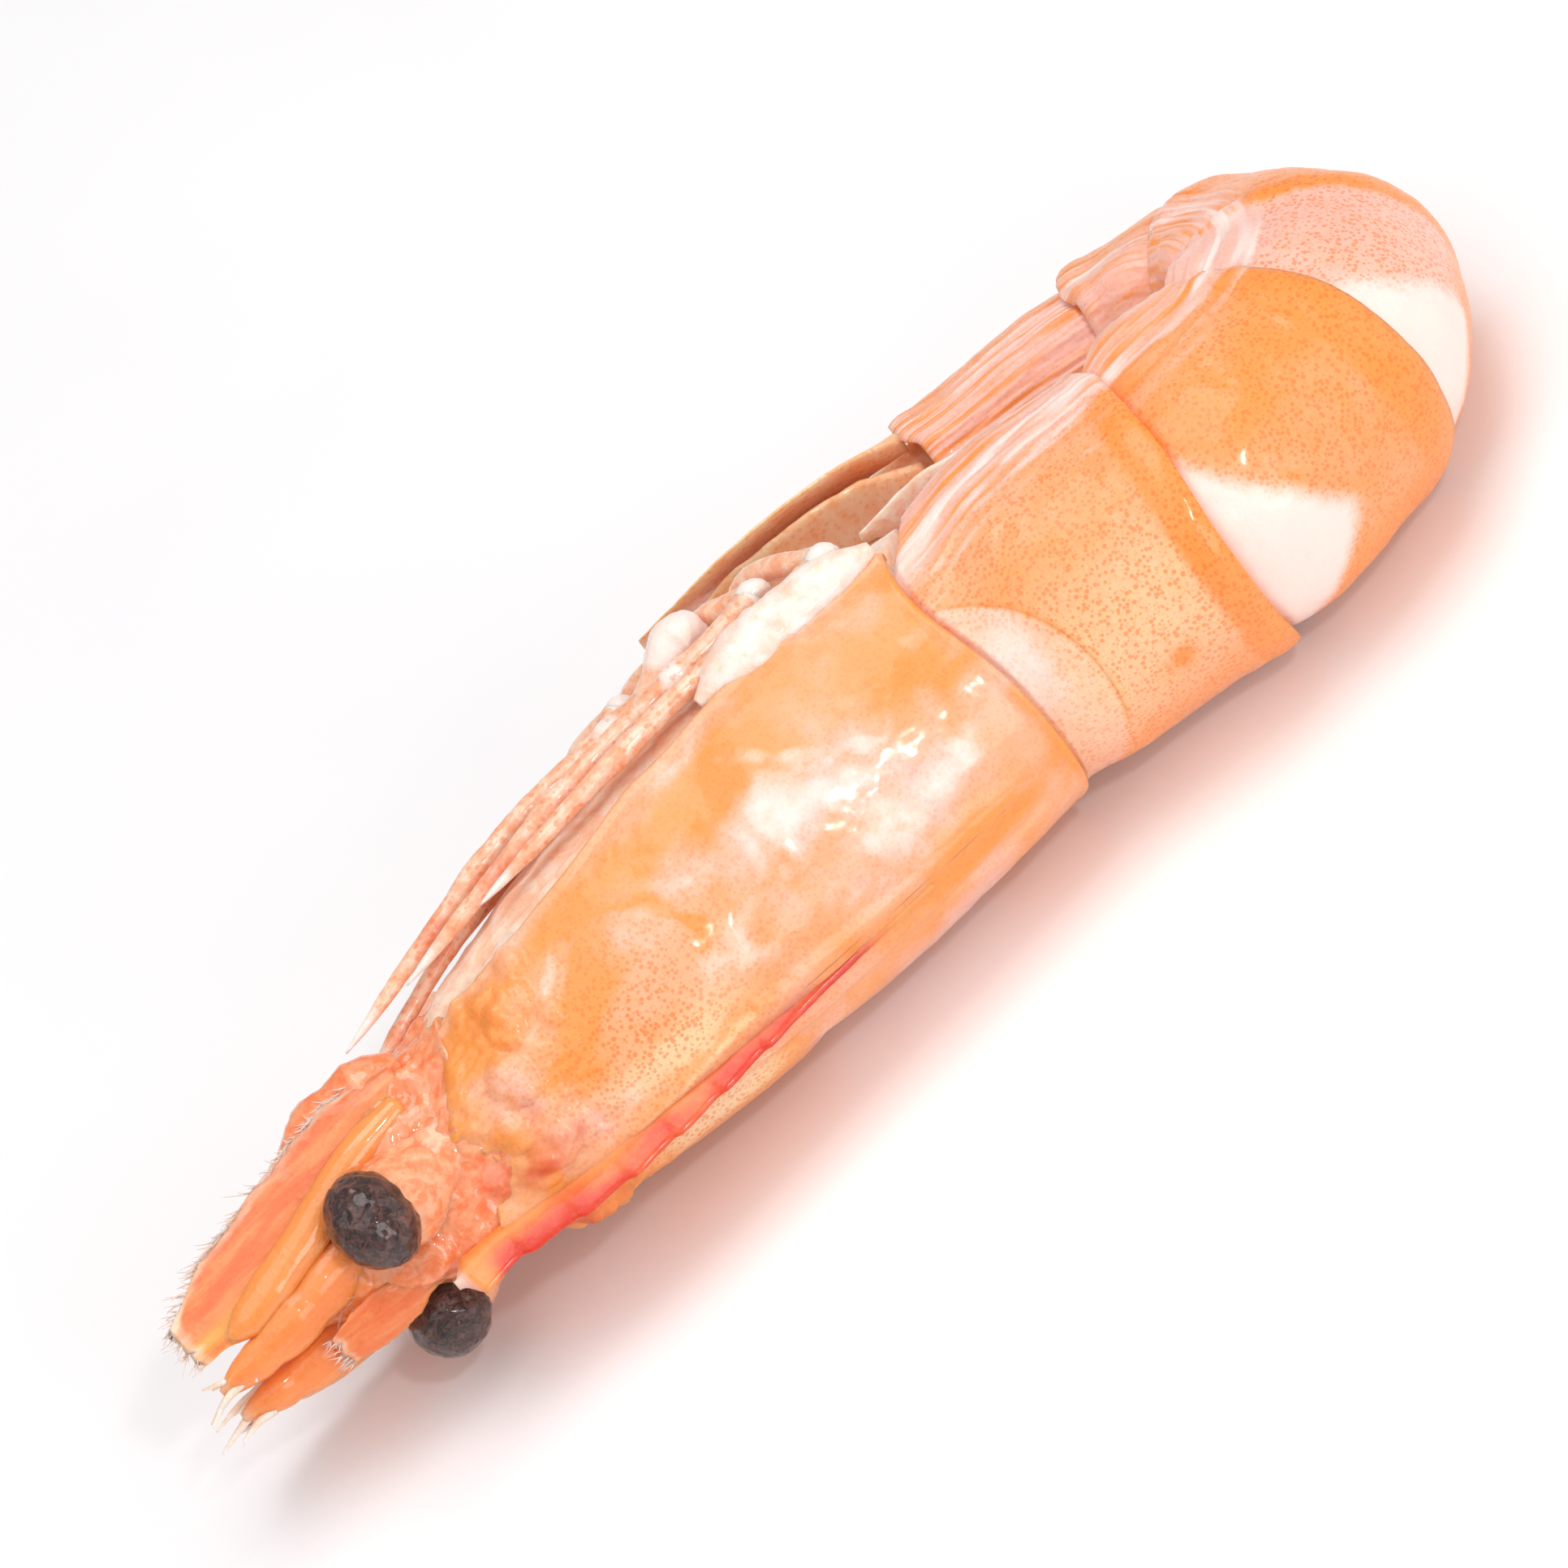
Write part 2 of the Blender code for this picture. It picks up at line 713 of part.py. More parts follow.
def swimmerets():
    for index, (root, reach, drop, apart) in enumerate(SWIMMERETS):
        depth = along(ABDOMEN_OUTLINE, root, 3)
        facing = frame_at(root)[2]
        for sign, name in ((1, "right"), (-1, "left")):
            blade_path = [
                at(root - 0.3, -depth - drop - 0.5, sign * apart),
                at(root - 0.5 * reach, -depth - drop - 0.4, sign * apart),
                at(root - reach, -depth - drop + 0.2, sign * (apart + 0.2)),
            ]
            blade = limb(
                f"swimmeret_{name}_{index + 1}",
                blade_path,
                [2.2, 3.6, 3.4, 2.4, 0.8],
                [1.2, 1.1, 0.9, 0.7, 0.4],
                facing,
                "swimmeret",
                count=8,
            )
            stem_path = [at(root, -depth - 0.55, sign * apart), at(root - 0.9, -depth - drop - 0.5, sign * apart)]
            stem = limb("stem", stem_path, [2.4, 2.0], [1.5, 1.3], (1, 0, 0), "swimmeret", count=3)
            join(blade, [stem])


def stand_at_origin():
    """Parents every piece to one empty, moved so that the middle of the underside is at the origin."""
    pieces = list(bpy.context.scene.collection.objects)
    corners = [vertex.co for piece in pieces for vertex in piece.data.vertices]
    whole = bpy.data.objects.new("prawn", None)
    bpy.context.scene.collection.objects.link(whole)
    for axis in (0, 1):
        values = [corner[axis] for corner in corners]
        whole.location[axis] = -(min(values) + max(values)) / 2
    for piece in pieces:
        piece.parent = whole


def build():
    clear_scene()
    make_materials()
    carapace()
    abdomen()
    tail_fan()
    head_core()
    eyes()
    antennae()
    legs()
    mouth_limbs()
    swimmerets()
    stand_at_origin()


build()
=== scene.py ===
import math

import bpy
import numpy as np
from mathutils import Matrix, Vector


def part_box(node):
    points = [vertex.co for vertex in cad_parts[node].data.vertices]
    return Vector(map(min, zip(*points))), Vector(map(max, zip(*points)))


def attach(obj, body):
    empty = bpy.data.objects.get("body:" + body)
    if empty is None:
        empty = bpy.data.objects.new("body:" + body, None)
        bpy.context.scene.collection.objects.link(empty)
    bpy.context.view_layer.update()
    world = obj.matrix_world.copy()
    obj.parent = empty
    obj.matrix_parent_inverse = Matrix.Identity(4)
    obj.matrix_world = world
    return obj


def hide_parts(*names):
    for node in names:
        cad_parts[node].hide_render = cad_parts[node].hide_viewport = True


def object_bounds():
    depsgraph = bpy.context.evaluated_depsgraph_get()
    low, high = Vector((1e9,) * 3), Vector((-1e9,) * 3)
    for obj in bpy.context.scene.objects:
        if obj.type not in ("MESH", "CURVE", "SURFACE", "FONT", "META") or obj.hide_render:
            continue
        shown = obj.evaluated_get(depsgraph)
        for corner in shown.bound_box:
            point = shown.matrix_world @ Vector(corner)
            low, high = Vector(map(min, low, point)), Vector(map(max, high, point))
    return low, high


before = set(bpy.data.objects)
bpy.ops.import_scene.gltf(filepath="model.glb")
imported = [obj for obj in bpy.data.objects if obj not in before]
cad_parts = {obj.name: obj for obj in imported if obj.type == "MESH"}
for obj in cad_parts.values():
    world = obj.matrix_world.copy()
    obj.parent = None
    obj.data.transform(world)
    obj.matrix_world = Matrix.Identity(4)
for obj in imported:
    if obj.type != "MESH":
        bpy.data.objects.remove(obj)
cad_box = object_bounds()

# Sizes are in millimetres and degrees, in the prawn's own frame: forward is -X, the back is -Y and the
# right flank is up. s runs along the spine from the head (below zero) to the tail, and t goes round a
# section from the back: 90 is the right flank, 180 the belly.

MM = 0.001
CARAPACE_LENGTH = 43.0
FLANK_HEIGHT = 9.45
CARAPACE_ROLL = -3.0
ABDOMEN_ROLL = 13.5
NECK_BEND = -13.0
NECK_SPAN = (-4.0, 5.0)
ROLL_SPAN = 14.0
SEGMENT_LENGTHS = [13.4, 9.5, 7.9, 7.4, 7.2, 12.5]
SEGMENT_BENDS = [4.0, 37.0, 52.0, 45.0, 36.0, 10.0]
TELSON_LENGTH = 17.5
TAIL_BEND = 4.0
# Rows of s, half width, height on the back's side and height on the belly's side
CARAPACE_OUTLINE = np.array([
    (-43.0, 5.4, 8.4, 5.4),
    (-38.0, 7.2, 9.5, 7.4),
    (-30.0, 9.0, 10.4, 9.4),
    (-20.0, 9.8, 11.0, 10.6),
    (-10.0, 9.9, 11.1, 10.5),
    (0.0, 9.5, 10.7, 9.2),
])
ABDOMEN_OUTLINE = np.array([
    (0.0, 9.2, 10.3, 6.8),
    (12.0, 9.4, 10.7, 6.4),
    (22.0, 9.0, 10.4, 5.7),
    (31.0, 8.0, 9.2, 5.1),
    (39.0, 6.8, 8.0, 4.6),
    (47.0, 5.4, 6.6, 4.1),
    (54.0, 4.6, 5.7, 3.8),
    (61.0, 3.9, 4.8, 3.2),
])
PLEURA_DEPTH = [1.5, 2.1, 1.9, 1.7, 1.5, 0.4]
SEGMENT_STARTS = np.concatenate([[0.0], np.cumsum(SEGMENT_LENGTHS)])
TAIL_START = float(SEGMENT_STARTS[6])
SIDES = ((1, "right"), (-1, "left"))


# Shape of the body


def smooth(x):
    x = np.clip(x, 0.0, 1.0)
    return x * x * (3.0 - 2.0 * x)


def ramp(x, start, span):
    """Rises smoothly from 0 to 1 as x goes from start over a span."""
    return smooth((x - start) / span)


def bell(x, width):
    return np.exp(-((x / width) ** 2))


def along(table, s, column):
    """A smooth curve through one column of a table, at s."""
    rows, values = table[:, 0], table[:, column]
    slopes = np.gradient(values, rows)
    s = np.clip(s, rows[0], rows[-1])
    i = np.clip(np.searchsorted(rows, s, "right") - 1, 0, len(rows) - 2)
    step = rows[i + 1] - rows[i]
    u = (s - rows[i]) / step
    return (
        values[i] * (1 + 2 * u) * (1 - u) ** 2
        + slopes[i] * step * u * (1 - u) ** 2
        + values[i + 1] * u * u * (3 - 2 * u)
        + slopes[i + 1] * step * u * u * (u - 1)
    )


def bend_at(s):
    angle = NECK_BEND * smooth((s - NECK_SPAN[0]) / (NECK_SPAN[1] - NECK_SPAN[0]))
    for start, length, bend in zip(SEGMENT_STARTS, SEGMENT_LENGTHS, SEGMENT_BENDS):
        angle = angle + bend * np.clip((s - start) / length, 0.0, 1.0)
    return angle + TAIL_BEND * np.clip((s - TAIL_START) / TELSON_LENGTH, 0.0, 1.0)


def roll_at(s):
    return CARAPACE_ROLL + (ABDOMEN_ROLL - CARAPACE_ROLL) * smooth((s - NECK_SPAN[0]) / ROLL_SPAN)


def turned(first, second, degrees):
    angle = math.radians(degrees)
    return (
        math.cos(angle) * first + math.sin(angle) * second,
        math.cos(angle) * second - math.sin(angle) * first,
    )


def spine_table():
    """Rows of s, place, and the directions to the tail, the back and the right flank."""
    step = 0.25
    straight = 90.0
    roll = math.radians(CARAPACE_ROLL)
    tailward = np.array([1.0, 0.0, 0.0])
    dorsal = np.array([0.0, -math.cos(roll), math.sin(roll)])
    right = np.array([0.0, math.sin(roll), math.cos(roll)])
    place = np.array([NECK_SPAN[0], 0.0, FLANK_HEIGHT])
    first = place - (straight + NECK_SPAN[0]) * tailward
    rows = [np.concatenate([[-straight], first, tailward, dorsal, right])]
    rows.append(np.concatenate([[NECK_SPAN[0]], place, tailward, dorsal, right]))
    s = NECK_SPAN[0]
    while s < TAIL_START + 2 * TELSON_LENGTH:
        dorsal, right = turned(dorsal, right, float(roll_at(s + step) - roll_at(s)))
        dorsal, tailward = turned(dorsal, tailward, float(bend_at(s + step) - bend_at(s)))
        place = place + step * tailward
        s += step
        rows.append(np.concatenate([[s], place, tailward, dorsal, right]))
    return np.array(rows)


SPINE = spine_table()


def frames(s):
    s = np.asarray(s, float)
    columns = [np.interp(s, SPINE[:, 0], SPINE[:, k]) for k in range(1, 13)]
    values = np.stack(columns, -1)
    return values[..., 0:3], values[..., 3:6], values[..., 6:9], values[..., 9:12]


def at(s, dorsal=0.0, right=0.0):
    place, _, back, flank = frames(s)
    return place + np.asarray(dorsal)[..., None] * back + np.asarray(right)[..., None] * flank


def ahead(forward, dorsal=0.0, right=0.0):
    return at(-CARAPACE_LENGTH - np.asarray(forward, float), dorsal, right)


def path_ahead(sign, places):
    """Points ahead of the shell, from distances forwards, dorsal and sideways."""
    return [ahead(forward, dorsal, sign * right) for forward, dorsal, right in places]


# Everything is shifted so that the right eye meets its solid
EYE_AHEAD = 4.7
EYE_HEIGHT = 5.0
EYE_SIDEWAYS = (4.75, 4.3)
eye_low, eye_high = [np.array(corner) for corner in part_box("eye_right")]
SHIFT = (eye_low + eye_high) / 2 / MM - ahead(EYE_AHEAD, EYE_HEIGHT, EYE_SIDEWAYS[0])
SHIFT[2] = 0.0


def value_noise(p, scale, seed=0):
    """Smooth noise from -1 to 1 at points p, with lumps about scale across."""
    q = np.asarray(p, float) / scale + seed * 17.31
    cell = np.floor(q).astype(np.int64)
    f = q - cell
    u = f * f * (3.0 - 2.0 * f)
    total = np.zeros(q.shape[:-1])
    for corner in range(8):
        d = np.array([corner & 1, corner >> 1 & 1, corner >> 2 & 1])
        c = cell + d
        h = c[..., 0] * 374761393 + c[..., 1] * 668265263 + c[..., 2] * 1274126177
        h = (h ^ (h >> 13)) * 1103515245
        h = (h ^ (h >> 16)) & 0xFFFF
        w = np.prod(np.where(d, u, 1.0 - u), axis=-1)
        total = total + w * (h / 32767.5 - 1.0)
    return total


def fractal(p, scale, seed=0, octaves=3):
    total = 0.0
    for k in range(octaves):
        total = total + value_noise(p, scale / 2**k, seed + k) / 2**k
    return total


# Mesh building


def normals_of(P):
    du = np.gradient(P, axis=0)
    dv = np.gradient(P, axis=1)
    n = np.cross(du, dv)
    length = np.linalg.norm(n, axis=-1, keepdims=True)
    return n / np.maximum(length, 1e-9)


def new_piece(name, verts, faces, material, paint, node, slot="shell"):
    """A piece that rides on the prawn, from points in its own frame, with colour values at each point."""
    verts = np.asarray(verts, float) + SHIFT
    verts[:, 2] = np.maximum(verts[:, 2], 0.0)
    mesh = bpy.data.meshes.new(name)
    mesh.from_pydata((verts * MM).tolist(), [], faces)
    for key, values in paint.items():
        layer = mesh.attributes.new(key, "FLOAT_COLOR", "POINT")
        colour = np.ones((len(verts), 4))
        colour[:, : values.shape[1]] = values
        layer.data.foreach_set("color", colour.ravel())
    mesh.validate()
    mesh.shade_smooth()
    mesh.materials.append(material)
    obj = bpy.data.objects.new(name, mesh)
    bpy.context.scene.collection.objects.link(obj)
    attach(obj, "root")
    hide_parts(node)


def grid_faces(n, m, closed, start=0, flip=False):
    faces = []
    for i in range(n - 1):
        for j in range(m if closed else m - 1):
            k = (j + 1) % m
            row = start + i * m
            quad = (row + j, row + k, row + m + k, row + m + j)
            faces.append(quad[::-1] if flip else quad)
    return faces


def outward(verts, faces):
    """True when the closed faces point out."""
    tris = np.array([f[:3] for f in faces] + [(f[0], f[2], f[3]) for f in faces if len(f) == 4])
    a, b, c = verts[tris[:, 0]], verts[tris[:, 1]], verts[tris[:, 2]]
    return np.einsum("ij,ij->i", a, np.cross(b, c)).sum() > 0


def grid_of(n, m):
    """Shares along n rings, and m angles from the back round a closed section."""
    return np.linspace(0, 1, n)[:, None], np.linspace(-180, 180, m, endpoint=False)[None, :]


def closed_skin(name, rings, material, zones, marks=None, **more):
    """A closed body from rings of points, with both ends closed to a middle point."""
    n, m = rings.shape[:2]
    verts = np.concatenate([rings.reshape(-1, 3), [rings[0].mean(0), rings[-1].mean(0)]])
    faces = grid_faces(n, m, True)
    for j in range(m):
        k = (j + 1) % m
        faces.append((k, j, n * m))
        faces.append(((n - 1) * m + j, (n - 1) * m + k, n * m + 1))
    if not outward(verts - verts.mean(0), faces):
        faces = [f[::-1] for f in faces]
    paint = {}
    for key, values in (("zones", zones), ("marks", marks)):
        if values is not None:
            ends = [values[0].mean(0), values[-1].mean(0)]
            paint[key] = np.concatenate([values.reshape(n * m, -1), ends])
    new_piece(name, verts, faces, material, paint, **more)


def thin_shell(name, P, thickness, material, paint, **more):
    """An open sheet given a thickness inwards, with its edge closed."""
    n, m = P.shape[:2]
    normal = normals_of(P)
    middle = P.mean(axis=1, keepdims=True)
    if ((P - middle) * normal).sum() < 0:
        normal = -normal
    inner = P - thickness * normal
    verts = np.concatenate([P.reshape(-1, 3), inner.reshape(-1, 3)])
    flip = np.cross(P[1, 0] - P[0, 0], P[0, 1] - P[0, 0]).dot(normal[0, 0]) > 0
    faces = grid_faces(n, m, False, 0, flip) + grid_faces(n, m, False, n * m, not flip)
    rim = list(range(m)) + [i * m + m - 1 for i in range(1, n)]
    rim += [(n - 1) * m + j for j in range(m - 2, -1, -1)] + [i * m for i in range(n - 2, 0, -1)]
    for a, b in zip(rim, rim[1:] + rim[:1]):
        quad = (a, b, b + n * m, a + n * m)
        faces.append(quad if flip else quad[::-1])
    doubled = {key: np.concatenate([values.reshape(n * m, -1)] * 2) for key, values in paint.items()}
    new_piece(name, verts, faces, material, doubled, **more)


def curve_through(points, count):
    given = np.asarray(points, float)
    padded = np.concatenate([[2 * given[0] - given[1]], given, [2 * given[-1] - given[-2]]])
    u = np.linspace(0, len(given) - 1, count)
    i = np.minimum(u.astype(int), len(given) - 2)
    u = (u - i)[:, None]
    p0, p1, p2, p3 = padded[i], padded[i + 1], padded[i + 2], padded[i + 3]
    return 0.5 * (
        2 * p1 + (p2 - p0) * u + (2 * p0 - 5 * p1 + 4 * p2 - p3) * u**2 + (3 * p1 - p0 - 3 * p2 + p3) * u**3
    )


def spread(values, u):
    return np.interp(u, np.linspace(0, 1, len(values)), values)


def tube_rings(points, widths, thicknesses, facing, sides, count):
    """Rings round a smooth path, wide across it and thin along the facing direction."""
    path = curve_through(points, count)
    u = np.linspace(0, 1, count)
    run = np.gradient(path, axis=0)
    run /= np.linalg.norm(run, axis=1, keepdims=True)
    across = np.cross(run, np.asarray(facing, float))
    across /= np.linalg.norm(across, axis=1, keepdims=True)
    thin = np.cross(across, run)
    angle = 2 * np.pi * (np.arange(sides) + 0.5) / sides
    wide = spread(widths, u)[:, None, None] / 2 * np.cos(angle)[None, :, None]
    deep = spread(thicknesses, u)[:, None, None] / 2 * np.sin(angle)[None, :, None]
    return path[:, None] + wide * across[:, None] + deep * thin[:, None], u


def swollen(rings, factor):
    """Rings made larger about their middles by a factor at each point."""
    middle = rings.mean(axis=1, keepdims=True)
    return middle + (rings - middle) * factor[..., None]


def zones_of(count, sides, orange=0.0, white=0.0, red=0.0, dots=0.0):
    """Colour zones for count rings of sides points, each from one value or an array."""
    zones = np.zeros((count, sides, 4))
    for channel, values in enumerate((orange, white, red, dots)):
        zones[..., channel] = values
    return zones


def tube(name, points, widths, thicknesses, facing, material, zones, rough, **more):
    """A closed, slightly lumpy tube with as many rings and sides as its zones."""
    count, sides = zones.shape[:2]
    rings, _ = tube_rings(points, widths, thicknesses, facing, sides, count)
    rings = swollen(rings, 1.0 + rough * fractal(rings, 1.6, 3))
    closed_skin(name, rings, material, zones, **more)


# Materials


def srgb(r, g, b):
    values = []
    for v in (r, g, b):
        v /= 255.0
        values.append(v / 12.92 if v <= 0.04045 else ((v + 0.055) / 1.055) ** 2.4)
    return (*values, 1.0)


class Graph:
    """A short way to write a material's nodes."""

    def __init__(self, name):
        self.material = bpy.data.materials.new(name)
        self.material.use_nodes = True
        self.tree = self.material.node_tree
        self.shader = self.tree.nodes["Principled BSDF"]
        self.position = self.node("ShaderNodeTexCoord").outputs["Object"]

    def node(self, kind, **settings):
        node = self.tree.nodes.new(kind)
        for key, value in settings.items():
            setattr(node, key, value)
        return node

    def put(self, socket, value):
        if isinstance(value, bpy.types.NodeSocket):
            self.tree.links.new(value, socket)
        else:
            socket.default_value = value

    def fill(self, node, **values):
        """Set or link a node's inputs, with _ for the spaces in their names."""
        for key, value in values.items():
            self.put(node.inputs[key.replace("_", " ")], value)

    def maths(self, operation, *values):
        node = self.node("ShaderNodeMath", operation=operation)
        for socket, value in zip(node.inputs, values):
            self.put(socket, value)
        return node.outputs[0]

    def stirred(self, amount, noise, strength):
        """An amount that a noise moves up and down by up to half the strength."""
        return self.maths("ADD", amount, self.maths("MULTIPLY", self.maths("SUBTRACT", noise, 0.5), strength))

    def noise(self, size, detail=3.0, rough=0.55, stretch=None, warp=0.0):
        node = self.node("ShaderNodeTexNoise")
        place = self.position
        if stretch:
            mapping = self.node("ShaderNodeMapping")
            self.fill(mapping, Vector=place, Scale=stretch)
            place = mapping.outputs[0]
        self.fill(node, Vector=place, Scale=1.0 / (size * MM), Detail=detail)
        self.fill(node, Roughness=rough, Distortion=warp)
        return node.outputs[0]

    def between(self, value, low, high):
        node = self.node("ShaderNodeMapRange", interpolation_type="SMOOTHSTEP")
        for socket, number in zip(node.inputs, (value, low, high)):
            self.put(socket, number)
        return node.outputs[0]

    def mix(self, share, a, b):
        node = self.node("ShaderNodeMix", data_type="RGBA")
        self.fill(node, Factor=share, A=a, B=b)
        return node.outputs["Result"]

    def split(self, colour):
        node = self.node("ShaderNodeSeparateColor")
        self.put(node.inputs[0], colour)
        return node.outputs[:3]

    def channels(self, name):
        node = self.node("ShaderNodeAttribute", attribute_name=name)
        return (*self.split(node.outputs["Color"]), node.outputs["Alpha"])

    def dots(self, spacing, radius, soft):
        """Round specks about spacing apart, as 1 inside and 0 outside."""
        node = self.node("ShaderNodeTexVoronoi", feature="F1")
        self.fill(node, Vector=self.position, Scale=1.0 / (spacing * MM))
        chance = self.split(node.outputs["Color"])[0]
        reach = self.maths("MULTIPLY_ADD", chance, radius * 0.8, radius * 0.6)
        return self.between(self.maths("SUBTRACT", reach, node.outputs["Distance"]), -soft, soft)

    def bump(self, height, strength, distance):
        node = self.node("ShaderNodeBump")
        self.fill(node, Height=height, Strength=strength, Distance=distance * MM)
        return node.outputs[0]

    def finish(self, colour, roughness, normal, inside, coat, coat_rough=0.08, depth=1.4):
        self.fill(self.shader, Base_Color=colour, Roughness=roughness, Normal=normal, IOR=1.42)
        self.fill(self.shader, Subsurface_Weight=inside, Subsurface_Radius=(1.0, 0.45, 0.25))
        self.fill(self.shader, Subsurface_Scale=depth * MM, Coat_Weight=coat, Coat_Roughness=coat_rough)
        return self.material


PEACH = srgb(252, 180, 142)
ORANGE = srgb(253, 152, 72)
DEEP_ORANGE = srgb(238, 118, 38)
WHITE = srgb(253, 229, 220)
RED = srgb(212, 48, 22)
PINK = srgb(252, 194, 178)
BROWN = srgb(120, 54, 24)
CREAM = srgb(254, 212, 164)


def shell_material():
    g = Graph("prawn_shell")
    orange, white, red, dots = g.channels("zones")
    pink, brown, cream, _ = g.channels("marks")
    lumps = g.noise(3.2, 5.0, 0.6, warp=0.6)
    fine = g.noise(0.7, 4.0, 0.65)
    colour = g.mix(g.between(g.stirred(orange, lumps, 0.7), -0.1, 1.1), PEACH, ORANGE)
    colour = g.mix(g.between(g.stirred(cream, fine, 0.4), 0.0, 1.0), colour, CREAM)
    colour = g.mix(g.between(g.stirred(pink, lumps, 0.7), 0.1, 1.0), colour, PINK)
    whiteness = g.between(g.stirred(g.stirred(white, fine, 0.3), lumps, 0.5), 0.12, 0.95)
    colour = g.mix(g.maths("MULTIPLY", whiteness, 0.95), colour, WHITE)
    colour = g.mix(g.between(g.stirred(red, fine, 0.4), 0.15, 1.0), colour, RED)
    small = g.maths("MULTIPLY", g.dots(0.24, 0.30, 0.14), 0.45)
    specks = g.maths("MAXIMUM", g.dots(0.30, 0.36, 0.11), small)
    share = g.maths("MULTIPLY_ADD", whiteness, -0.85, 1.0)
    share = g.maths("MULTIPLY", share, g.maths("MULTIPLY", specks, dots))
    colour = g.mix(g.maths("MULTIPLY", share, 0.7), colour, DEEP_ORANGE)
    colour = g.mix(g.between(brown, 0.3, 0.8), colour, BROWN)
    roughness = g.maths("MULTIPLY_ADD", fine, 0.24, 0.28)
    height = g.maths("ADD", g.maths("MULTIPLY", fine, 0.5), g.maths("MULTIPLY", lumps, 0.25))
    height = g.maths("SUBTRACT", height, g.maths("MULTIPLY", specks, 0.12))
    return g.finish(colour, roughness, g.bump(height, 0.3, 0.2), inside=0.35, coat=0.35, coat_rough=0.12)


def flesh_material(name, colours, size, inside=0.45, coat=0.5, stretch=None, pale=WHITE):
    """A soft part: base, light and dark colours in patches, and the zones painted on the piece."""
    g = Graph(name)
    base, light, dark = [srgb(*colour) for colour in colours]
    orange, white, red, dots = g.channels("zones")
    lumps = g.noise(size, 5.0, 0.6, stretch=stretch, warp=0.5)
    fine = g.noise(0.45, 3.0, 0.6)
    colour = g.mix(g.between(lumps, 0.38, 0.62), base, light)
    colour = g.mix(g.maths("MULTIPLY", g.between(fine, 0.50, 0.76), 0.4), colour, dark)
    colour = g.mix(g.between(g.stirred(orange, fine, 0.4), 0.25, 0.8), colour, ORANGE)
    colour = g.mix(g.between(g.stirred(white, lumps, 0.6), 0.3, 0.8), colour, pale)
    colour = g.mix(g.between(red, 0.2, 0.9), colour, RED)
    specks = g.maths("MULTIPLY", g.dots(0.5, 0.28, 0.1), dots)
    colour = g.mix(g.maths("MULTIPLY", specks, 0.6), colour, DEEP_ORANGE)
    roughness = g.maths("MULTIPLY_ADD", fine, 0.25, 0.24)
    return g.finish(colour, roughness, g.bump(g.maths("ADD", fine, lumps), 0.5, 0.18), inside, coat)


def eye_material():
    g = Graph("prawn_eye")
    wrinkles = g.noise(0.55, 6.0, 0.7, warp=1.2)
    pale = g.noise(1.3, 4.0, 0.6, warp=0.8)
    colour = g.mix(g.between(wrinkles, 0.40, 0.68), srgb(24, 11, 9), srgb(104, 62, 54))
    colour = g.mix(g.maths("MULTIPLY", g.between(pale, 0.52, 0.72), 0.6), colour, srgb(134, 90, 80))
    colour = g.mix(g.maths("MULTIPLY", g.dots(0.8, 0.2, 0.06), 0.05), colour, srgb(214, 190, 178))
    return g.finish(colour, 0.22, g.bump(wrinkles, 0.9, 0.26), 0.0, coat=0.7, coat_rough=0.05, depth=1.0)


def floor_material():
    g = Graph("studio_floor")
    cloud = g.noise(60.0, 3.0)
    colour = g.mix(g.between(cloud, 0.3, 0.7), srgb(243, 242, 244), srgb(247, 246, 247))
    g.fill(g.shader, Base_Color=colour, Roughness=0.6)
    return g.material


SHELL = shell_material()
HEAD = flesh_material("prawn_head", [(247, 130, 74), (253, 162, 116), (230, 92, 46)], 1.0, coat=1.0)
SCALE = flesh_material(
    "prawn_antennal_scale",
    [(240, 118, 62), (250, 150, 90), (212, 82, 40)],
    1.0,
    inside=0.6,
    stretch=(0.12, 1.0, 1.0),
    pale=srgb(252, 206, 182),
)
STALK = flesh_material("prawn_eye_stalk", [(249, 140, 88), (254, 176, 132), (232, 100, 54)], 0.8, coat=1.0)
MEMBRANE = flesh_material("prawn_membrane", [(250, 206, 184), (252, 226, 212), (246, 178, 144)], 1.3)
HAIR = flesh_material("prawn_hair", [(255, 214, 190), (255, 232, 218), (246, 164, 124)], 0.8, inside=0.4)
LIMB = flesh_material("prawn_limb", [(249, 174, 136), (254, 206, 176), (238, 130, 90)], 1.2, inside=0.5)
LEAF = flesh_material("prawn_swimmeret", [(252, 196, 172), (255, 224, 208), (240, 150, 120)], 1.4, inside=0.6)
TAIL = flesh_material("prawn_tail", [(255, 184, 134), (255, 206, 166), (246, 134, 78)], 1.8, inside=0.5)
BODY = flesh_material("prawn_body", [(252, 196, 162), (255, 224, 204), (240, 150, 108)], 2.2, inside=0.6)
EYE = eye_material()


# The carapace

KEEL_START = -15.0
KEEL_FREE_LENGTH = 4.6
KEEL_RISE = 1.7
TOOTH_COUNT = 7
TOOTH_PITCH = 3.5
SHELL_THICKNESS = 0.45
# The angle of the shell's lower edge, as (s, t)
LOWER_EDGE = [(-43, 90), (-36, 92), (-30.5, 90), (-26.8, 91), (-21, 96), (-11, 98), (0, 98)]


def lower_edge(s):
    return np.interp(s, *zip(*LOWER_EDGE))


def carapace_rear(t):
    return -1.6 * bell(abs(t) - 75.0, 32.0) + 1.2 * bell(abs(t) - 135.0, 24.0) - 0.32


def carapace_front(t):
    return -CARAPACE_LENGTH + 2.6 * bell(abs(t) - 38.0, 20.0) + 7.5 * ramp(abs(t), 70.0, 110.0)


